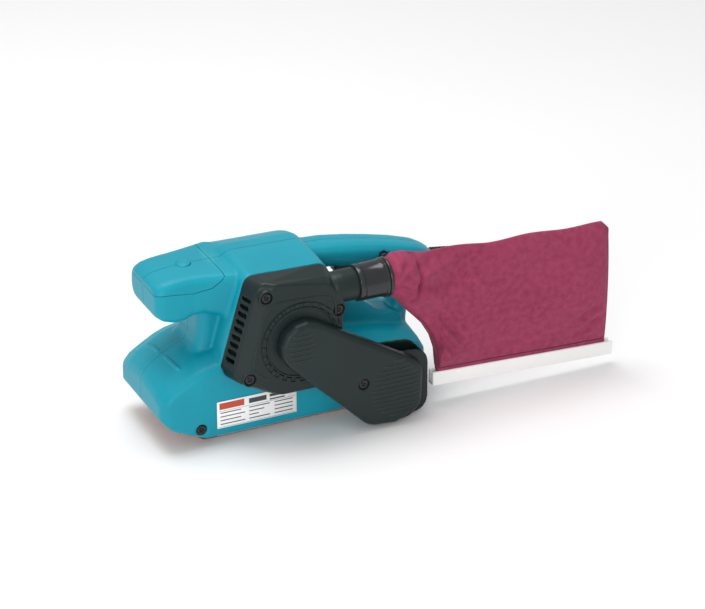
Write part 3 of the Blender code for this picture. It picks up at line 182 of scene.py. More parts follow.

# Painted highlight: a mask, broken up by noise, that is high where the surface is convex and lightens the
# colour of edges.
highlight_tree, highlight_in, highlight_out = group(
    "edge_highlight",
    [("Vector", VECTOR, None), ("Convexity", NUMBER, 0.5), ("Start", NUMBER, 0.53), ("End", NUMBER, 0.62)],
    [("Mask", NUMBER)],
)
highlight_range = highlight_tree.nodes.new("ShaderNodeMapRange")
highlight_noise = highlight_tree.nodes.new("ShaderNodeTexNoise")
highlight_noise.inputs["Scale"].default_value = 60
highlight_mix = highlight_tree.nodes.new("ShaderNodeMath")
highlight_mix.operation = "MULTIPLY"
highlight_tree.links.new(highlight_in.outputs["Convexity"], highlight_range.inputs["Value"])
highlight_tree.links.new(highlight_in.outputs["Start"], highlight_range.inputs["From Min"])
highlight_tree.links.new(highlight_in.outputs["End"], highlight_range.inputs["From Max"])
highlight_tree.links.new(highlight_in.outputs["Vector"], highlight_noise.inputs["Vector"])
highlight_tree.links.new(highlight_range.outputs["Result"], highlight_mix.inputs[0])
highlight_tree.links.new(highlight_noise.outputs["Fac"], highlight_mix.inputs[1])
highlight_tree.links.new(highlight_mix.outputs["Value"], highlight_out.inputs["Mask"])


class Finish:
    """A material with its Principled BSDF, and short ways to add nodes to it."""

    def __init__(self, name, roughness, **sockets):
        self.material = bpy.data.materials.new(name)
        self.material.use_nodes = True
        self.tree = self.material.node_tree
        self.shader = self.tree.nodes["Principled BSDF"]
        self.shader.inputs["Roughness"].default_value = roughness
        for label, value in sockets.items():
            self.shader.inputs[label.replace("_", " ")].default_value = value
        self.place = self.node("TexCoord").outputs["Object"]

    def node(self, kind, **inputs):
        """A node whose named inputs are linked to sockets or set to values."""
        made = self.tree.nodes.new("ShaderNode" + kind)
        for label, value in inputs.items():
            self.set(made.inputs[label.replace("_", " ")], value)
        return made

    def set(self, socket, value):
        if isinstance(value, bpy.types.NodeSocket):
            self.tree.links.new(value, socket)
        else:
            socket.default_value = value

    def group(self, tree, **inputs):
        made = self.tree.nodes.new("ShaderNodeGroup")
        made.node_tree = tree
        for label, value in inputs.items():
            self.set(made.inputs[label.replace("_", " ")], value)
        return made

    def mix(self, share, first, second):
        """The colour that goes from first to second as share goes from 0 to 1."""
        made = self.tree.nodes.new("ShaderNodeMix")
        made.data_type = "RGBA"
        for index, value in ((0, share), (6, first), (7, second)):
            self.set(made.inputs[index], value)
        return made.outputs[2]

    def ramp(self, value, low, high, to_low=0.0, to_high=1.0):
        """The value's range from low to high, carried to the range from to_low to to_high."""
        made = self.node("MapRange", Value=value, From_Min=low, From_Max=high, To_Min=to_low, To_Max=to_high)
        return made.outputs["Result"]

    def bump(self, height, depth, strength=1.0):
        made = self.node("Bump", Height=height, Distance=depth, Strength=strength)
        self.tree.links.new(made.outputs["Normal"], self.shader.inputs["Normal"])

    def colour(self, value):
        self.set(self.shader.inputs["Base Color"], value)

    def rough(self, value):
        self.set(self.shader.inputs["Roughness"], value)


def moulded(name, dark, light, edge_highlight_colour, roughness, fineness=1500.0, depth=0.00006, gloss=0.3):
    """Moulded plastic: two near shades in soft patches, a painted highlight on convex edges, fine texture,
    uneven gloss.
    """
    made = Finish(name, roughness, Specular_IOR_Level=gloss)
    grain = made.group(grain_tree, Vector=made.place, Fineness=fineness)
    convexity = made.node("NewGeometry").outputs["Pointiness"]
    edge_highlight_mask = made.group(highlight_tree, Vector=made.place, Convexity=convexity)
    shade = made.mix(made.ramp(grain.outputs["Patches"], 0.3, 0.7), dark, light)
    # The edge colour mixed in here is a painted highlight on convex edges.
    made.colour(made.mix(edge_highlight_mask.outputs["Mask"], shade, edge_highlight_colour))
    made.rough(made.ramp(grain.outputs["Patches"], 0.3, 0.7, roughness - 0.04, roughness + 0.05))
    made.bump(grain.outputs["Grain"], depth, 0.35)
    return made.material


def metal(name, colour, roughness, stretch=(1, 1, 1), fineness=900.0, depth=0.00002, metallic=1.0):
    """Metal with fine marks, drawn out in the direction where stretch is small."""
    made = Finish(name, roughness, Metallic=metallic)
    marks = made.node("Mapping", Vector=made.place, Scale=stretch).outputs["Vector"]
    grain = made.group(grain_tree, Vector=marks, Fineness=fineness, Patch_Size=30.0)
    darker = tuple(channel * 0.8 for channel in colour[:3]) + (1,)
    made.colour(made.mix(grain.outputs["Patches"], darker, colour))
    made.rough(made.ramp(grain.outputs["Grain"], 0.2, 0.8, roughness - 0.08, roughness + 0.1))
    made.bump(grain.outputs["Grain"], depth, 0.4)
    return made.material


# The third colour of each moulded finish is its painted edge highlight.
teal = moulded("teal_nylon", (0.0, 0.270, 0.365, 1), (0.0, 0.310, 0.410, 1), (0.05, 0.46, 0.55, 1), 0.42)
black = moulded(
    "black_nylon", (0.007, 0.015, 0.015, 1), (0.011, 0.020, 0.020, 1), (0.06, 0.075, 0.07, 1), 0.42,
)
gloss_black = moulded(
    "gloss_black", (0.010, 0.013, 0.014, 1), (0.014, 0.018, 0.019, 1), (0.05, 0.05, 0.05, 1), 0.22, 700.0,
    gloss=0.5,
)
white_vinyl = moulded(
    "white_vinyl", (0.88, 0.89, 0.88, 1), (0.94, 0.94, 0.93, 1), (0.96, 0.96, 0.95, 1), 0.38, 900.0,
)
rubber = moulded(
    "rubber", (0.012, 0.012, 0.013, 1), (0.020, 0.020, 0.020, 1), (0.04, 0.04, 0.04, 1), 0.62, 1200.0,
    0.00008,
)
carbon = moulded(
    "carbon", (0.010, 0.010, 0.010, 1), (0.020, 0.020, 0.021, 1), (0.03, 0.03, 0.03, 1), 0.55, 2200.0,
)
steel = metal("ground_steel", (0.56, 0.56, 0.55, 1), 0.32, (1, 0.08, 1))
black_steel = metal("blackened_steel", (0.035, 0.035, 0.037, 1), 0.32, metallic=0.6)
aluminium = metal("cast_aluminium", (0.66, 0.67, 0.68, 1), 0.42, fineness=1400.0, depth=0.00006)
copper = metal("copper", (0.72, 0.35, 0.19, 1), 0.36, (1, 0.1, 1))


# ---- table ----------------------------------------------------------------------------------------------
# A pale laminate top with hardly any grain, far larger than the view.
TABLE_REACH, TABLE_Z = 6, -0.0002
table_top = surface(
    "table_top",
    [[(-TABLE_REACH, y, TABLE_Z), (TABLE_REACH, y, TABLE_Z)] for y in (-TABLE_REACH, TABLE_REACH)],
    wrap_columns=False,
)
table = Finish("table_top", 0.7)
table_grain = table.group(grain_tree, Vector=table.place, Fineness=400.0, Patch_Size=2.0)
table.colour(table.mix(table_grain.outputs["Patches"], (0.93, 0.93, 0.93, 1), (0.97, 0.97, 0.97, 1)))
table_top.data.materials.append(table.material)


# ---- mains lead -----------------------------------------------------------------------------------------
# Two-core flex, 7 mm across and 1.88 m long: out of the guard at the handle's end, down to the table, wound
# in a coil of about seven turns behind the tool, to a moulded plug. The guard is a ribbed rubber sleeve.
GUARD_START = np.array((0.1400, 0.0, 0.1062))
GUARD_WAY = np.array((0.994, 0.015, -0.10)) / np.linalg.norm((0.994, 0.015, -0.10))
GUARD_LENGTH = 0.046
CORD_R = 0.0035
CORD_EXIT = GUARD_START + GUARD_WAY * (GUARD_LENGTH + 0.0003)
COIL_CENTRE = np.array((0.250, 0.078))
LEAD_POINTS = (
    (0.2090, 0.0030, 0.0985), (0.2195, 0.0060, 0.0860), (0.2255, 0.0090, 0.0690), (0.2285, 0.0125, 0.0500),
    (0.2325, 0.0165, 0.0315), (0.2400, 0.0210, 0.0160), (0.2510, 0.0250, 0.0065),
)
TAIL_POINTS = (
    (0.3012, 0.0830, 0.0040), (0.3008, 0.0940, 0.0060), (0.3000, 0.1040, 0.0088), (0.2996, 0.1120, 0.0099),
)
COIL_START, COIL_END, WHOLE_TURNS = math.radians(-75.4), math.radians(-6.7), 7
COIL_POINTS_PER_TURN, COIL_SMOOTHING, LEAD_SPACING = 30, 5, 0.005
# Each lane of the coil: how many turns from the coil's start, radius, height of the lead's centre
COIL_LANES = np.array((
    (0.00, 0.0517, 0.0038), (0.22, 0.0436, 0.0038), (0.90, 0.0436, 0.0038), (1.10, 0.0362, 0.0038),
    (1.90, 0.0362, 0.0038), (2.10, 0.0288, 0.0038), (2.85, 0.0288, 0.0038), (3.10, 0.0325, 0.0101),
    (3.90, 0.0325, 0.0101), (4.12, 0.0399, 0.0101), (4.90, 0.0399, 0.0101), (5.12, 0.0362, 0.0162),
    (6.10, 0.0362, 0.0162), (6.55, 0.0405, 0.0164), (6.85, 0.0478, 0.0120), (7.05, 0.0508, 0.0055),
    (7.19, 0.0515, 0.0038),
))


def smooth_through(points, spacing):
    """A Catmull-Rom curve through the points, cut about evenly, spacing apart."""
    points = np.asarray(points, float)
    ends = np.vstack([2 * points[0] - points[1], points, 2 * points[-1] - points[-2]])
    pieces = []
    for before, first, last, after in zip(ends, ends[1:], ends[2:], ends[3:]):
        t = np.linspace(
            0, 1, max(2, int(np.linalg.norm(last - first) / spacing) + 1), endpoint=False,
        )[:, None]
        pieces.append(0.5 * (
            2 * first + (last - before) * t + (2 * before - 5 * first + 4 * last - after) * t**2
            + (3 * first - before - 3 * last + after) * t**3
        ))
    return np.vstack([*pieces, points[-1:]])


def tube(name, path, radius, around=12):
    """A round tube along a path: at each point, a ring square to the path, each turned as little as it can be
    from the ring before it. radius is one number or one for each point."""
    path = np.asarray(path, float)
    along = np.gradient(path, axis=0)
    along /= np.linalg.norm(along, axis=1)[:, None]
    side = np.cross(along[0], (0.0, 0.0, 1.0) if abs(along[0][2]) < 0.9 else (1.0, 0.0, 0.0))
    sides = []
    for way in along:
        side = side - way * np.dot(side, way)
        side = side / np.linalg.norm(side)
        sides.append(side)
    sides = np.array(sides)
    ups = np.cross(along, sides)
    angle = np.linspace(0, math.tau, around, endpoint=False)[None, :, None]
    radius = np.broadcast_to(radius, len(path))[:, None, None]
    rings = path[:, None] + radius * (np.cos(angle) * sides[:, None] + np.sin(angle) * ups[:, None])
    return surface(name, rings)


turns = COIL_LANES[:, 0]
coil_step = np.arange(0.02, turns[-1] - 0.01, 1 / COIL_POINTS_PER_TURN)
coil_radius = np.interp(coil_step, turns, COIL_LANES[:, 1])
coil_height = np.interp(coil_step, turns, COIL_LANES[:, 2])
kernel = np.ones(COIL_SMOOTHING) / COIL_SMOOTHING
smoothed = slice(COIL_SMOOTHING // 2, -(COIL_SMOOTHING // 2))
coil_radius[smoothed] = np.convolve(coil_radius, kernel, "valid")
coil_height[smoothed] = np.convolve(coil_height, kernel, "valid")
coil_angle = COIL_START + (WHOLE_TURNS * math.tau + COIL_END - COIL_START) * coil_step / turns[-1]
coil_points = np.stack([
    COIL_CENTRE[0] + coil_radius * np.cos(coil_angle), COIL_CENTRE[1] + coil_radius * np.sin(coil_angle),
    coil_height,
], axis=1)
lead_path = smooth_through(
    np.vstack([CORD_EXIT, CORD_EXIT + GUARD_WAY * 0.008, LEAD_POINTS, coil_points, TAIL_POINTS]),
    LEAD_SPACING,
)
mains_lead = tube("mains_lead", lead_path, CORD_R)
place(mains_lead, rubber, "housing", "cord_lead", "cord_coil", "cord_tail", slot=slot_of["cord_lead"])


def turned(name, profile, start, way, around=40, closed=False):
    """A profile of (distance along, radius) pairs turned round an axis; a closed profile makes a ring."""
    profile = np.asarray(profile, float)
    way = np.asarray(way, float) / np.linalg.norm(way)
    side = np.cross(way, (0, 0, 1) if abs(way[2]) < 0.9 else (1, 0, 0))
    side /= np.linalg.norm(side)
    up = np.cross(way, side)
    angle = np.linspace(0, math.tau, around, endpoint=False)[None, :, None]
    along, radius = profile[:, :1, None], profile[:, 1:, None]
    rings = np.asarray(start) + along * way + radius * (np.cos(angle) * side + np.sin(angle) * up)
    return surface(name, rings, wrap_rows=closed)


GUARD_RIBS, GUARD_RIB_PITCH, GUARD_TAPER = 8, 0.0037, 0.00018
guard_profile = [
    (0.0002, 0.0045), (0.0004, 0.0058), (0.0014, 0.0058), (0.0018, 0.0053), (0.0066, 0.0053),
    (0.0071, 0.0062), (0.0120, 0.0060),
]
for rib in range(GUARD_RIBS):
    groove = 0.0135 + GUARD_RIB_PITCH * rib
    shrink = GUARD_TAPER * rib
    guard_profile += [
        (groove, 0.0060 - shrink), (groove + 0.0002, 0.0049 - shrink), (groove + 0.0012, 0.0049 - shrink),
        (groove + 0.0014, 0.0059 - shrink), (groove + 0.0032, 0.0059 - shrink),
    ]
guard_profile += [(GUARD_LENGTH - 0.0006, 0.0046), (GUARD_LENGTH, 0.0040), (GUARD_LENGTH, 0.0035)]
cord_guard = turned("cord_sleeve", guard_profile, GUARD_START, GUARD_WAY, 28)
place(cord_guard, rubber, "housing", "cord_guard")


# ---- plug -----------------------------------------------------------------------------------------------
# A moulded two-pin plug: a waisted rubber body over the lead, and two round steel pins.
PLUG = np.array((0.2995, 0.1130, 0.0100))
PLUG_CORNERS, PIN_OFFSET, PIN_ROOT = 0.62, 0.0095, 0.0365
plug_stations = np.array((
    (0.0, 0.0042, 0.0042), (0.001, 0.0045, 0.0045), (0.008, 0.0053, 0.0053), (0.012, 0.0072, 0.0064),
    (0.016, 0.0112, 0.0084),
    (0.021, 0.0140, 0.0094), (0.028, 0.0156, 0.0095), (0.0345, 0.0168, 0.0095), (0.0365, 0.0166, 0.0093),
    (0.0378, 0.0150, 0.0078),
))


def rounded_ring(half_x, half_z, power, count=40):
    """Points on a superellipse: x and z are the powers of cosine and sine, so its corners fill out."""
    angle = np.linspace(0, math.tau, count, endpoint=False)
    x = half_x * np.sign(np.cos(angle)) * np.abs(np.cos(angle)) ** power
    z = half_z * np.sign(np.sin(angle)) * np.abs(np.sin(angle)) ** power
    return x, z


plug_rings = []
for along, half, tall in plug_stations:
    x, z = rounded_ring(half, tall, PLUG_CORNERS)
    plug_rings.append(np.stack([PLUG[0] + x, np.full(len(x), PLUG[1] + along), PLUG[2] + z], axis=1))
plug_body = place(surface("plug_body", plug_rings), rubber, "housing", "mains_plug")
for number, side in enumerate((-PIN_OFFSET, PIN_OFFSET)):
    pin = turned(
        f"plug_pin_{number + 1}", [(0.0, 0.0022), (0.0185, 0.0022), (0.0198, 0.0018), (0.0205, 0.0009)],
        PLUG + (side, PIN_ROOT, 0), (0, 1, 0), 20,
    )
    place(pin, steel, "housing")


# ---- moulded housing ------------------------------------------------------------------------------------
# Two shells of glass-filled nylon that meet on the centre plane, and a cover on the front grip. Thick, well
# rounded mouldings with a fine eroded texture; the joints show as thin dark lines.
SEAM = 0.0005
SHELL_VOXEL, SHELL_RELAX, SHELL_KEEP, SHELL_CLOSE = 0.00125, 6, 0.62, 0.0003
COVER_VOXEL, COVER_KEEP = 0.00085, 0.8
PLANE_WITHIN = 0.0004
SIDE_OUTLINE = ((-0.2, -0.05), (0.2, -0.05), (0.2, 0.2), (-0.2, 0.2))
SIDE_REACH, GRIP_REACH = 0.12, 0.05
CAP_SEAM = (
    (-0.130, 0.1320), (-0.096, 0.1322), (-0.076, 0.1302), (-0.062, 0.1328), (-0.0505, 0.1405),
    (-0.0505, 0.170), (-0.130, 0.170),
)


def merged_copy(name, nodes, close=0.0):
    """One mesh from several CAD nodes with their loose triangles merged. Points on the centre plane move
    across it by close, so that two halves grow into each other."""
    places, faces, start = [], [], 0
    for node in nodes:
        mesh = frame["nodes"][node].data
        points = np.empty(len(mesh.vertices) * 3)
        mesh.vertices.foreach_get("co", points)
        points = points.reshape(-1, 3)
        if close:
            points[np.abs(points[:, 1]) < PLANE_WITHIN, 1] = -np.sign(points[:, 1].mean()) * close
        loops = np.empty(len(mesh.loops), int)
        mesh.loops.foreach_get("vertex_index", loops)
        places.append(points)
        faces.append(loops.reshape(-1, 3) + start)
        start += len(points)
    mesh = bpy.data.meshes.new(name)
    mesh.from_pydata(np.concatenate(places).tolist(), [], np.concatenate(faces).tolist())
    work = bmesh.new()
    work.from_mesh(mesh)
    bmesh.ops.remove_doubles(work, verts=work.verts, dist=WELD)
    work.to_mesh(mesh)
    work.free()
    piece = bpy.data.objects.new(name, mesh)
    bpy.context.scene.collection.objects.link(piece)
    return piece


def apply_modifiers(piece):
    """Puts what the modifiers make into the piece's own mesh."""
    graph = bpy.context.evaluated_depsgraph_get()
    mesh = bpy.data.meshes.new_from_object(piece.evaluated_get(graph))
    piece.modifiers.clear()
    piece.data = mesh
    return piece


def remeshed(piece, voxel, rounds, keep):
    """The piece's surface made again from even squares, relaxed, which rounds its edges, and thinned: keep is
    the share of its faces that stays."""
    remesh = piece.modifiers.new("remesh", "REMESH")
    remesh.mode = "VOXEL"
    remesh.voxel_size = voxel
    relax = piece.modifiers.new("relax", "SMOOTH")
    relax.factor = 0.5
    relax.iterations = rounds
    thin = piece.modifiers.new("thin", "DECIMATE")
    thin.ratio = keep
    apply_modifiers(piece)
    piece.data.shade_smooth()
    return piece


def boolean(piece, tool, operation):
    """One Boolean, applied; the tool is left for its next use."""
    step = piece.modifiers.new(operation, "BOOLEAN")
    step.operation = operation
    step.solver = "MANIFOLD"
    step.object = tool
    return apply_modifiers(piece)


def slab(name, outline, left, right):
    """An outline of (x, z) pairs carried from left to right along Y."""
    return surface(name, [[(x, y, z) for x, z in outline] for y in (left, right)])


def twin(piece, name):
    """A second object with its own copy of the mesh."""
    copied = bpy.data.objects.new(name, piece.data.copy())
    bpy.context.scene.collection.objects.link(copied)
    return copied


def drop(*pieces):
    for piece in pieces:
        bpy.data.objects.remove(piece)


whole = remeshed(
    merged_copy(
        "housing", ["housing_left", "housing_right", "front_grip_left", "front_grip_right"], SHELL_CLOSE,
    ),
    SHELL_VOXEL, SHELL_RELAX, SHELL_KEEP,
)
grip_tool = slab("grip_tool", CAP_SEAM, -GRIP_REACH, GRIP_REACH)
cap_low = [(x + SEAM, z - SEAM) for x, z in CAP_SEAM[:5]] + [(-0.0505 + SEAM, 0.170), (-0.130, 0.170)]
rest_tool = slab("rest_tool", cap_low, -GRIP_REACH, GRIP_REACH)
far_side = slab("far_side", SIDE_OUTLINE, SEAM / 2, SIDE_REACH)
near_side = slab("near_side", SIDE_OUTLINE, -SIDE_REACH, -SEAM / 2)
cap = boolean(twin(whole, "grip_cover"), grip_tool, "INTERSECT")
boolean(whole, rest_tool, "DIFFERENCE")
for source, label, nodes in (
    (whole, "housing_shell", ("housing_left", "housing_right")),
    (cap, "grip_shell", ("front_grip_left", "front_grip_right")),
):
    for side, tool, node in (("near", near_side, nodes[0]), ("far", far_side, nodes[1])):
        half = boolean(twin(source, f"{label}_{side}"), tool, "INTERSECT")
        half.data.shade_smooth()
        half.data.set_sharp_from_angle(angle=CUT_SHARP_ANGLE)
        place(half, teal, "housing", node)
drop(whole, cap, grip_tool, rest_tool, far_side, near_side)

# The bar across the base's slope, in two parts, that rests against the fingers.
BAR_POINTS, BAR_R = 16, 0.0023
for number, (left, right) in enumerate(((-0.0310, -0.0035), (0.0035, 0.0250))):
    y = np.linspace(left, right, BAR_POINTS)
    bar_path = np.stack([-0.0930 - 0.11 * y, y, 0.0658 - 0.045 * np.abs(y)], axis=1)
    step = np.arange(BAR_POINTS)
    bar_radius = BAR_R * np.clip(np.minimum(step, step[::-1]) / 2 + 0.3, 0, 1)
    place(tube(f"finger_bar_{number + 1}", bar_path, bar_radius, 12), teal, "housing")

# The plug over the grip's screw: a soft dome pressed into its seat.
dome_step = np.linspace(0, math.pi / 2, 10)
dome = [(0.0006, 0.0056), (0.0036, 0.0057)] + [
    (0.0037 + 0.0016 * math.sin(a), 0.0057 * math.cos(a) + 0.0001) for a in dome_step
]
plug_dome = turned("grip_dome", dome, (-0.0720, 0, 0.1388), (-0.12, 0, 1), 36)
place(plug_dome, teal, "housing", "grip_plug")


# ---- screws ---------------------------------------------------------------------------------------------
# Blackened pan-head screws with cross recesses: three in the housing, three in the fan cover, one in the
# belt cover, and the tracking screw at the front of the base.
HEAD_R, HEAD_HEIGHT, SEAT_DEPTH, SHANK_R = 0.0042, 0.0022, 0.0023, 0.0018
RECESS_DEPTH, RECESS_HALF, RECESS_REACH = 0.0014, 0.00062, 0.0027


def cross_screw(name, centre, side):
    """A head whose face is a low dome less a cross: its height falls with the square of the distance from
    the axis, and drops inside two narrow bars that cross there. The skirt goes down to the seat."""
    ring = np.concatenate([np.linspace(0.0, 0.8, 15)[1:], [0.9, 0.96, 1.0, 1.0]])
    fall = np.concatenate([np.zeros(14), [0.0001, 0.0003, 0.0007, HEAD_HEIGHT]])
    angle = np.linspace(0, math.tau, 48, endpoint=False) + 0.3
    r, a = np.meshgrid(ring * HEAD_R, angle, indexing="ij")
    u, v = r * np.cos(a - 0.7), r * np.sin(a - 0.7)
    inside = np.minimum(
        np.maximum(np.abs(u) / RECESS_HALF, np.abs(v) / RECESS_REACH),
        np.maximum(np.abs(v) / RECESS_HALF, np.abs(u) / RECESS_REACH),
    )
    recess = np.clip(1.5 - inside, 0, 1) * RECESS_DEPTH
    top = HEAD_HEIGHT - 0.0005 * (r / HEAD_R) ** 2 - np.maximum(fall[:, None], recess)
    rows = np.stack([centre[0] + r * np.cos(a), centre[1] + side * top, centre[2] + r * np.sin(a)], axis=-1)
    centre_ring = rows[:1].copy()
    centre_ring[..., 0] = centre[0] + 0.0001 * np.cos(angle)
    centre_ring[..., 2] = centre[2] + 0.0001 * np.sin(angle)
    centre_ring[..., 1] = centre[1] + side * (HEAD_HEIGHT - RECESS_DEPTH)
    return surface(name, np.concatenate([centre_ring, rows]))


for entry in record["subparts"]:
    node = entry["node"]
    if "screw_" not in node and node != "tracking_screw":
        continue
    low, high = (np.array(corner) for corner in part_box(node))
    side = 1 if node.startswith("housing") else -1
    middle = (low + high) / 2
    seat = (high[1] if side > 0 else low[1]) - side * SEAT_DEPTH
    head = cross_screw(f"head_{node}", (middle[0], seat, middle[2]), side)
    shank = turned(
        f"shank_{node}", [(0, SHANK_R), (high[1] - low[1] - 0.003, SHANK_R)],
        (middle[0], seat, middle[2]), (0, -side, 0), 16,
    )
    body = "tracking_screw" if node == "tracking_screw" else "housing"
    place(head, black_steel, body, node)
    place(shank, black_steel, body)


# ---- fan cover ------------------------------------------------------------------------------------------
# One black moulding: slots for the fan's air on its slanted front, three sunk screws, a raised line, a ring
# of castellations round the motor's axis, and the round nozzle that takes the dust bag's collar.
FACE_Y = -0.068
MOTOR_Z = 0.0885
fan_cover = remeshed(merged_copy("fan_cover_skin", ["fan_cover"]), COVER_VOXEL, 4, COVER_KEEP)
place(fan_cover, black, "housing", "fan_cover")


def castellated_ring(name, inner, outer, low, high, teeth, around=288):
    """A flat ring whose outer part steps up and down: height is high where the cosine of teeth times the
    angle is positive and low where it isn't, along most of the ring's width."""
    angle = np.linspace(0, math.tau, around, endpoint=False)
    step = 1 / (1 + np.exp(-14 * np.cos(teeth * angle)))
    share = np.array([0.0, 0.0, 0.12, 0.24, 0.34, 0.44, 0.86, 0.94, 1.0, 1.0])
    rise = np.array([-1.0, 0.0, 0.9, 0.9, 0.0, 0.0, 0.0, 1.0, 0.0, -1.0])
    tooth = np.array([0.0, 0.0, 0.0, 0.0, 0.0, 1.0, 1.0, 0.0, 0.0, 0.0])
    r = inner + (outer - inner) * share[:, None]
    raised = np.where(
        rise[:, None] >= 0, low + (high - low) * np.maximum(rise[:, None], tooth[:, None] * step), -0.0006,
    )
    rows = np.stack([
        r * np.cos(angle), np.broadcast_to(FACE_Y, raised.shape) - raised, MOTOR_Z + r * np.sin(angle),
    ], axis=-1)
    return surface(name, rows, wrap_rows=True)


arc_ring = castellated_ring("fan_ring", inner=0.0290, outer=0.0349, low=0.0001, high=0.0011, teeth=26)
place(arc_ring, black, "housing")

# The raised line along the top of the face and down its front side.
panel_line = smooth_through([
    (0.0295, FACE_Y, 0.1020), (0.0290, FACE_Y, 0.1175), (0.0235, FACE_Y, 0.1238), (0.010, FACE_Y, 0.1262),
    (-0.012, FACE_Y, 0.1272), (-0.0235, FACE_Y, 0.1262), (-0.0300, FACE_Y, 0.1215), (-0.0350, FACE_Y, 0.105),
    (-0.0410, FACE_Y, 0.082), (-0.0420, FACE_Y, 0.073), (-0.0370, FACE_Y, 0.0665), (-0.0290, FACE_Y, 0.0610),
], 0.002)
place(tube("face_line", panel_line, 0.0006, 8), black, "housing")


# ---- belt cover -----------------------------------------------------------------------------------------
# The long black moulding over the toothed belt, with a soft rim, a sunk screw, and short ribs that stand on
# the rim round both of its ends.
ARM_Y = -0.080
RIB_PITCH, RIB_HEIGHT, RIB_POINTS = 0.0044, 0.0007, 14
SMALL_END_R, LARGE_END_R = 0.0172, 0.0252
belt_cover = remeshed(merged_copy("belt_cover_skin", ["belt_cover"]), COVER_VOXEL, 6, COVER_KEEP)
place(belt_cover, black, "housing", "belt_cover")


def face_ribs(name, spans):
    """Level half-round ribs on the cover's face, one for each (Z, left end, right end)."""
    for number, (z, left, right) in enumerate(spans):
        path = np.linspace((left, ARM_Y + 0.0002, z), (right, ARM_Y + 0.0002, z), RIB_POINTS)
        step = np.arange(RIB_POINTS)
        taper = RIB_HEIGHT * np.clip(np.minimum(step, step[::-1]) / 1.5 + 0.25, 0, 1)
        place(tube(f"{name}_{number + 1}", path, taper, 8), black, "housing")


small_end = [MOTOR_Z + 0.0115 - RIB_PITCH * k for k in range(6)]
face_ribs("small_end_rib", [
    (z, -math.sqrt(SMALL_END_R**2 - (z - MOTOR_Z) ** 2), 0.0065 - 0.16 * abs(z - MOTOR_Z)) for z in small_end
])
large_end = [0.0600 - RIB_PITCH * 0.92 * k for k in range(13)]
face_ribs("large_end_rib", [
    (
        z, 0.0800 - math.sqrt(max(LARGE_END_R**2 - (z - 0.0350) ** 2, 0.00002)),
        min(0.0985, 0.0985 - 1.0 * max(0.0, z - 0.0470), 0.0985 - 1.15 * max(0.0, 0.0185 - z)),
    )
    for z in large_end
])


# ---- collar and bag ring --------------------------------------------------------------------------------
# A glossy black collar pushed on the nozzle, with a lip at its front and a bead where the bag's neck is held
# by a glossy black ring.
NOZZLE_Y, NOZZLE_Z = -0.056, 0.1246
collar_low, collar_high = (np.array(corner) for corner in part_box("bag_collar"))
collar_length = collar_high[0] - collar_low[0]
outer = (collar_high[2] - collar_low[2]) / 2 - 0.0011
bore = 0.0127
collar_profile = [
    (0.0, bore), (0.0, outer - 0.0010), (0.0003, outer - 0.0003), (0.0009, outer), (0.0036, outer),
    (0.0040, outer - 0.0005),
    (0.0048, outer - 0.0005), (0.0052, outer), (collar_length - 0.0052, outer),
    (collar_length - 0.0046, outer + 0.0003),
    (collar_length - 0.0026, outer + 0.0005), (collar_length - 0.0021, outer + 0.0010),
    (collar_length - 0.0006, outer + 0.0011),
    (collar_length, outer + 0.0006), (collar_length, bore),
]
collar = turned("collar", collar_profile, (collar_low[0], NOZZLE_Y, NOZZLE_Z), (1, 0, 0), 64, closed=True)
place(collar, gloss_black, "bag_collar", "bag_collar")
ring_low, ring_high = (np.array(corner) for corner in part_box("bag_ring"))
wire = (ring_high[0] - ring_low[0]) / 2
loop = [
    (wire - wire * math.cos(a), (ring_high[2] - ring_low[2]) / 2 - wire + wire * math.sin(a))
    for a in np.linspace(0, math.tau, 12, endpoint=False)
]
sprung_ring = turned("sprung_ring", loop, (ring_low[0], NOZZLE_Y, NOZZLE_Z), (1, 0, 0), 64, closed=True)
place(sprung_ring, gloss_black, "dust_bag", "bag_ring")


# ---- dust bag -------------------------------------------------------------------------------------------
# A flat bag of maroon canvas, gathered on the ring at its front and closed at its rear, with a hem along the
# bottom that the strip holds shut. It is one shell over stations along X, with its folds in its shape.
BAG_FRONT, BAG_REAR = 0.0803, 0.282
STRIP_SLOPE = math.tan(math.radians(-2.5))
ALONG, ROUND = 240, 96
HEM_SHARE, STITCH_SHARE, STITCH_R = 0.88, 0.87, 0.00035
# Each station: X, highest Z, lowest Z (the hem's is worked out), half thickness, share of flat panel
BAG_STATIONS = np.array((
    (BAG_FRONT, 0.1394, 0.1098, 0.0148, 0.0), (0.0870, 0.1435, 0.1030, 0.0158, 0.10),
    (0.0950, 0.1438, 0.0935, 0.0155, 0.25),
    (0.1040, 0.1415, 0.0840, 0.0140, 0.45), (0.1120, 0.1400, 0.0750, 0.0120, 0.60),
    (0.1190, 0.1400, 0.0630, 0.0105, 0.75),
    (0.1240, 0.1398, 0.0480, 0.0110, 0.88), (0.1265, 0.1396, 0.0218, 0.0108, 0.97),
    (0.1300, 0.1394, 0.0216, 0.0108, 1.0),
    (0.1700, 0.1366, 0.0199, 0.0105, 1.0), (0.2300, 0.1352, 0.0172, 0.0105, 1.0),
    (0.2760, 0.1332, 0.0152, 0.0080, 1.0),
    (BAG_REAR, 0.1270, 0.0150, 0.0040, 1.0),
))
bag_x = np.linspace(BAG_FRONT, BAG_REAR, ALONG)[:, None]
top, low, half, flat = (np.interp(bag_x, BAG_STATIONS[:, 0], BAG_STATIONS[:, i]) for i in range(1, 5))
share = np.linspace(0, 1, ROUND)[None, :]
hem_top = np.maximum(0.0298 + STRIP_SLOPE * (bag_x - 0.122) + 0.0015, low + 0.002)
tube_y = half * np.sin(math.pi * share)
tube_z = top - (top - low) * (1 - np.cos(math.pi * share)) / 2
fall = np.minimum(share / HEM_SHARE, 1.0)
panel_y = np.maximum(half * np.sin(math.pi * np.minimum(1.0, fall * 0.92 + 0.02)) ** 0.7, 0.0016)
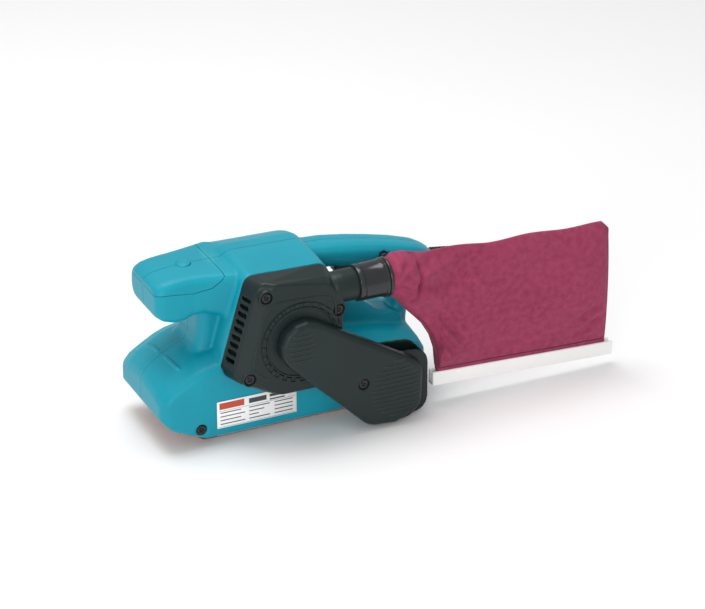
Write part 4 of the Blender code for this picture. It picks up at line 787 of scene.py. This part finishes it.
panel_z = np.where(
    share < HEM_SHARE, top + (hem_top - top) * fall,
    hem_top + (low - hem_top) * (share - HEM_SHARE) / (1 - HEM_SHARE),
)
side_y = tube_y + (panel_y - tube_y) * flat
side_z = tube_z + (panel_z - tube_z) * flat
side_y = np.where(share <= 0.0, 0.0009, np.where(share >= 1.0, np.maximum(side_y * flat, 0.0006), side_y))


def creases(x, z, side):
    """How far the cloth stands in or out: a fold that runs in an arc round the neck, soft folds that fan out
    from the neck towards the lower corner, and shallow waves between the top and the strip."""
    from_neck = np.hypot(x - BAG_FRONT, (z - NOZZLE_Z) * 0.8)
    angle = np.arctan2(NOZZLE_Z - z, x - BAG_FRONT)
    arc = -np.exp(-((from_neck - 0.025) / 0.0022) ** 2) + 0.7 * np.exp(-((from_neck - 0.019) / 0.0035) ** 2)
    fan = np.sin(11 * angle + 1.1 * side + 40 * from_neck) * np.exp(-((from_neck - 0.045) / 0.028) ** 2)
    corner = np.sin(560 * (0.8 * (x - 0.125) + 0.6 * (z - 0.05))) * np.exp(
        -np.hypot(x - 0.132, (z - 0.058) * 0.6) ** 2 / 0.0150**2
    )
    corner = corner + 0.8 * np.sin(420 * (0.5 * (x - 0.265) - 0.9 * (z - 0.04))) * np.exp(
        -np.hypot(x - 0.262, z - 0.045) ** 2 / 0.018**2
    )
    drape = np.sin(34 * (x - 0.08) + 17 * z + side) + 0.6 * np.sin(71 * x - 45 * z + 2 * side)
    return 0.0042 * arc + 0.0030 * fan + 0.0028 * corner + 0.0026 * drape * np.clip((x - 0.10) / 0.03, 0, 1)


calm = (
    np.clip((bag_x - BAG_FRONT) / 0.006, 0, 1) * np.clip((side_z - hem_top) / 0.012, 0, 1)
    * np.sin(math.pi * np.clip(share, 0.0, 1.0)) ** 0.5
)
calm = calm * np.clip((BAG_REAR - bag_x) / 0.012, 0.15, 1)
wave_top = 0.0009 * np.sin(95 * bag_x + 0.6) * np.clip((bag_x - 0.10) / 0.03, 0, 1) * (1 - share) ** 2
near = np.stack([
    np.broadcast_to(bag_x, side_y.shape), NOZZLE_Y - side_y - calm * creases(bag_x, side_z, 0.0),
    side_z + wave_top,
], axis=-1)
far = np.stack([
    np.broadcast_to(bag_x, side_y.shape), NOZZLE_Y + side_y + calm * creases(bag_x, side_z, 2.0),
    side_z + wave_top,
], axis=-1)
bag_rows = np.concatenate([near, far[:, ::-1]], axis=1)
dust_bag = surface("canvas_bag", bag_rows)

uv_layer = dust_bag.data.uv_layers.new(name="cloth")
corner_points = np.empty(len(dust_bag.data.loops), int)
dust_bag.data.loops.foreach_get("vertex_index", corner_points)
flat_points = bag_rows.reshape(-1, 3)[corner_points]
uv_layer.data.foreach_set("uv", np.stack([flat_points[:, 0], flat_points[:, 2]], axis=1).ravel())

weave_tree, weave_in, weave_out = group(
    "plain_weave",
    [("Vector", VECTOR, None), ("Threads per Metre", NUMBER, 1400.0)],
    [("Height", NUMBER), ("Slub", NUMBER)],
)
weave_sum = weave_tree.nodes.new("ShaderNodeMath")
weave_sum.operation = "MAXIMUM"
for number, way in enumerate(("X", "Y")):
    wave = weave_tree.nodes.new("ShaderNodeTexWave")
    wave.bands_direction = way
    wave.wave_profile = "SIN"
    wave.inputs["Distortion"].default_value = 0.6
    wave.inputs["Detail Scale"].default_value = 0.5
    weave_tree.links.new(weave_in.outputs["Vector"], wave.inputs["Vector"])
    weave_tree.links.new(weave_in.outputs["Threads per Metre"], wave.inputs["Scale"])
    weave_tree.links.new(wave.outputs["Fac"], weave_sum.inputs[number])
slub = weave_tree.nodes.new("ShaderNodeTexNoise")
slub.inputs["Scale"].default_value = 180
weave_tree.links.new(weave_in.outputs["Vector"], slub.inputs["Vector"])
weave_tree.links.new(weave_sum.outputs["Value"], weave_out.inputs["Height"])
weave_tree.links.new(slub.outputs["Fac"], weave_out.inputs["Slub"])


def woven(name, dark, light, threads):
    """Cotton canvas: a plain weave that follows the cloth, slubs that vary its shade, a soft sheen."""
    made = Finish(name, 0.9, Sheen_Weight=0.06, Sheen_Roughness=0.5, Specular_IOR_Level=0.15)
    follow = made.node("UVMap").outputs["UV"]
    weave = made.group(weave_tree, Vector=follow, Threads_per_Metre=threads)
    patches = made.group(grain_tree, Vector=made.place, Fineness=600.0, Patch_Size=16.0)
    shade = made.mix(made.ramp(weave.outputs["Slub"], 0.3, 0.7, 0.0, 0.6), dark, light)
    worn = made.mix(made.ramp(patches.outputs["Patches"], 0.35, 0.7, 0.0, 0.3), shade, light)
    made.colour(worn)
    made.bump(weave.outputs["Height"], 0.0002, 0.5)
    return made.material


canvas = woven("maroon_canvas", (0.265, 0.034, 0.082, 1), (0.405, 0.066, 0.140, 1), 450.0)
place(dust_bag, canvas, "dust_bag", "dust_bag", slot=slot_of["dust_bag"])


# The dark line of stitches above the hem, one on each side.
thread = metal("dark_thread", (0.09, 0.018, 0.035, 1), 0.7, metallic=0.0)
for label, side in (("near", -1), ("far", 1)):
    column = int(STITCH_SHARE * (ROUND - 1))
    rows = near if side < 0 else far
    stitch_path = rows[30:-3, column] + (0, side * 0.0002, 0)
    place(tube(f"hem_stitch_{label}", stitch_path, STITCH_R, 6), thread, "dust_bag")


# ---- closing strip --------------------------------------------------------------------------------------
# A white extruded vinyl channel that slides onto the hem; its ends are cut square, its corners are round.
def softened(name, nodes, width, segments):
    """A copy of CAD nodes with their flat faces joined and their sharp edges rounded."""
    piece = merged_copy(name, nodes)
    work = bmesh.new()
    work.from_mesh(piece.data)
    bmesh.ops.dissolve_limit(work, angle_limit=math.radians(1.0), verts=work.verts, edges=work.edges)
    work.to_mesh(piece.data)
    work.free()
    edge = piece.modifiers.new("edge", "BEVEL")
    edge.width = width
    edge.segments = segments
    edge.limit_method = "ANGLE"
    edge.angle_limit = math.radians(40)
    apply_modifiers(piece)
    piece.data.shade_smooth()
    piece.data.set_sharp_from_angle(angle=CUT_SHARP_ANGLE)
    return piece


strip = softened("vinyl_strip", ["bag_clip"], 0.0009, 3)
place(strip, white_vinyl, "bag_clip", "bag_clip")


# ---- rating label ---------------------------------------------------------------------------------------
# A white foil label on the base, printed with a plain coloured block and rows of dark bars in place of text.
label_low, label_high = (np.array(corner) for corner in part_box("rating_label"))
# Its third colour is the painted edge highlight.
foil = moulded("label_foil", (0.92, 0.93, 0.93, 1), (0.95, 0.95, 0.95, 1), (0.92, 0.92, 0.92, 1), 0.35, 500.0)
label_face = softened("label_face", ["rating_label"], 0.0001, 1)
place(label_face, foil, "housing", "rating_label")


INK_DEPTH, INK_SUNK = 0.00006, 0.0001


def printed(name, boxes, colour):
    """Thin flat bars on the label, each given by its share of the label's length and height."""
    size = label_high - label_low
    made = []
    for number, (left, right, low, high) in enumerate(boxes):
        x0, x1 = label_low[0] + size[0] * left, label_low[0] + size[0] * right
        z0, z1 = label_low[2] + size[2] * low, label_low[2] + size[2] * high
        y = label_low[1]
        ring = np.array([(x0, z0), (x1, z0), (x1, z1), (x0, z1)])
        rows = [[(x, y + step, z) for x, z in ring] for step in (INK_SUNK, -INK_DEPTH)]
        made.append(surface(f"{name}_{number + 1}", rows))
    ink = Finish(name, 0.4)
    speck = ink.group(grain_tree, Vector=ink.place, Fineness=2500.0)
    ink.colour(ink.mix(speck.outputs["Grain"], tuple(0.8 * c for c in colour) + (1,), tuple(colour) + (1,)))
    for bar in made:
        place(bar, ink.material, "housing")


printed("red_block", [(0.03, 0.34, 0.70, 0.94)], (0.62, 0.07, 0.03))
rows_of_bars = [(0.40, 0.62, 0.72, 0.90), (0.66, 0.93, 0.80, 0.90), (0.66, 0.85, 0.68, 0.73)]
for line in range(4):
    z = 0.55 - 0.14 * line
    rows_of_bars += [
        (0.04, 0.30 + 0.05 * (line % 2), z, z + 0.035),
        (0.40, 0.66 - 0.07 * (line % 3), z, z + 0.035),
        (0.72, 0.95, z, z + 0.035),
    ]
rows_of_bars += [(0.02, 0.98, 0.635, 0.645), (0.02, 0.98, 0.03, 0.04)]
printed("dark_bars", rows_of_bars, (0.05, 0.05, 0.055))


# ---- sanding belt ---------------------------------------------------------------------------------------
# An endless belt 76 mm wide, finished as brown grit on both of its sides; its joint is not modelled.
belt = softened("grit_belt", ["sanding_belt"], 0.0002, 1)
grit = Finish("grit", 0.95)
grit_cells = grit.node("TexVoronoi", Vector=grit.place, Scale=2200.0)
grit_grain = grit.group(grain_tree, Vector=grit.place, Fineness=2600.0, Patch_Size=25.0)
grit_shade = grit.mix(grit_cells.outputs["Distance"], (0.22, 0.060, 0.028, 1), (0.42, 0.15, 0.08, 1))
grit.colour(grit.mix(
    grit.ramp(grit_grain.outputs["Patches"], 0.3, 0.7, 0.0, 0.4), grit_shade, (0.16, 0.045, 0.022, 1),
))
grit.bump(grit_cells.outputs["Distance"], 0.0003, 0.8)
place(belt, grit.material, "housing", "sanding_belt", slot=slot_of["sanding_belt"])


# ---- trigger, lock button and release lever -------------------------------------------------------------
# A black nylon paddle under the handle, the small button that locks it on, and the bent steel lever on the
# far side that lets the belt go slack.
place(softened("trigger_paddle", ["trigger"], 0.0011, 3), black, "trigger", "trigger")
button_low, button_high = (np.array(corner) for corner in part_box("lock_button"))
button_r = (button_high[0] - button_low[0]) / 2
button_profile = [
    (0, button_r * 0.86), (0.0083, button_r), (0.0092, button_r - 0.0002), (0.0098, button_r - 0.0009),
    (0.0100, button_r - 0.0018), (0.0096, button_r - 0.0024), (0.0096, 0.0002),
]
button_middle = (button_low + button_high) / 2
lock = turned(
    "lock_stud", button_profile, (button_middle[0], button_high[1], button_middle[2]), (0, -1, 0), 32,
)
place(lock, black, "lock_button", "lock_button")
place(softened("belt_lever", ["release_lever"], 0.0007, 2), steel, "release_lever", "release_lever")


# ---- tension spring -------------------------------------------------------------------------------------
# A steel compression spring between the frame's post and the yoke; in the tool it shortens as the yoke is
# drawn back, here it rides with the housing at one length.
spring = merged_copy("yoke_spring", ["tension_spring"])
spring.data.shade_smooth()
place(spring, steel, "housing", "tension_spring")
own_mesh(spring)


# ---- what stays as the frame has it ----------------------------------------------------------------------
# The rollers, shafts, bearings, motor and platen are turned, ground or pressed; each takes the finish of what
# it is made of.
cork = Finish("cork", 0.9)
cork_cells = cork.node("TexVoronoi", Vector=cork.place, Scale=700.0)
cork.colour(cork.mix(cork_cells.outputs["Distance"], (0.22, 0.13, 0.06, 1), (0.52, 0.36, 0.20, 1)))
cork.bump(cork_cells.outputs["Distance"], 0.0002, 0.6)
kept_finishes = {
    "teal_plastic": teal, "black_plastic": black, "steel": steel, "black_steel": black_steel,
    "aluminium": aluminium,
    "copper": copper, "rubber": rubber, "cork": cork.material, "canvas": canvas,
    "white_plastic": white_vinyl, "carbon": carbon,
    "abrasive": grit.material,
}
for node, slot in slot_of.items():
    for material_slot in frame["nodes"][node].material_slots:
        material_slot.material = kept_finishes[slot]
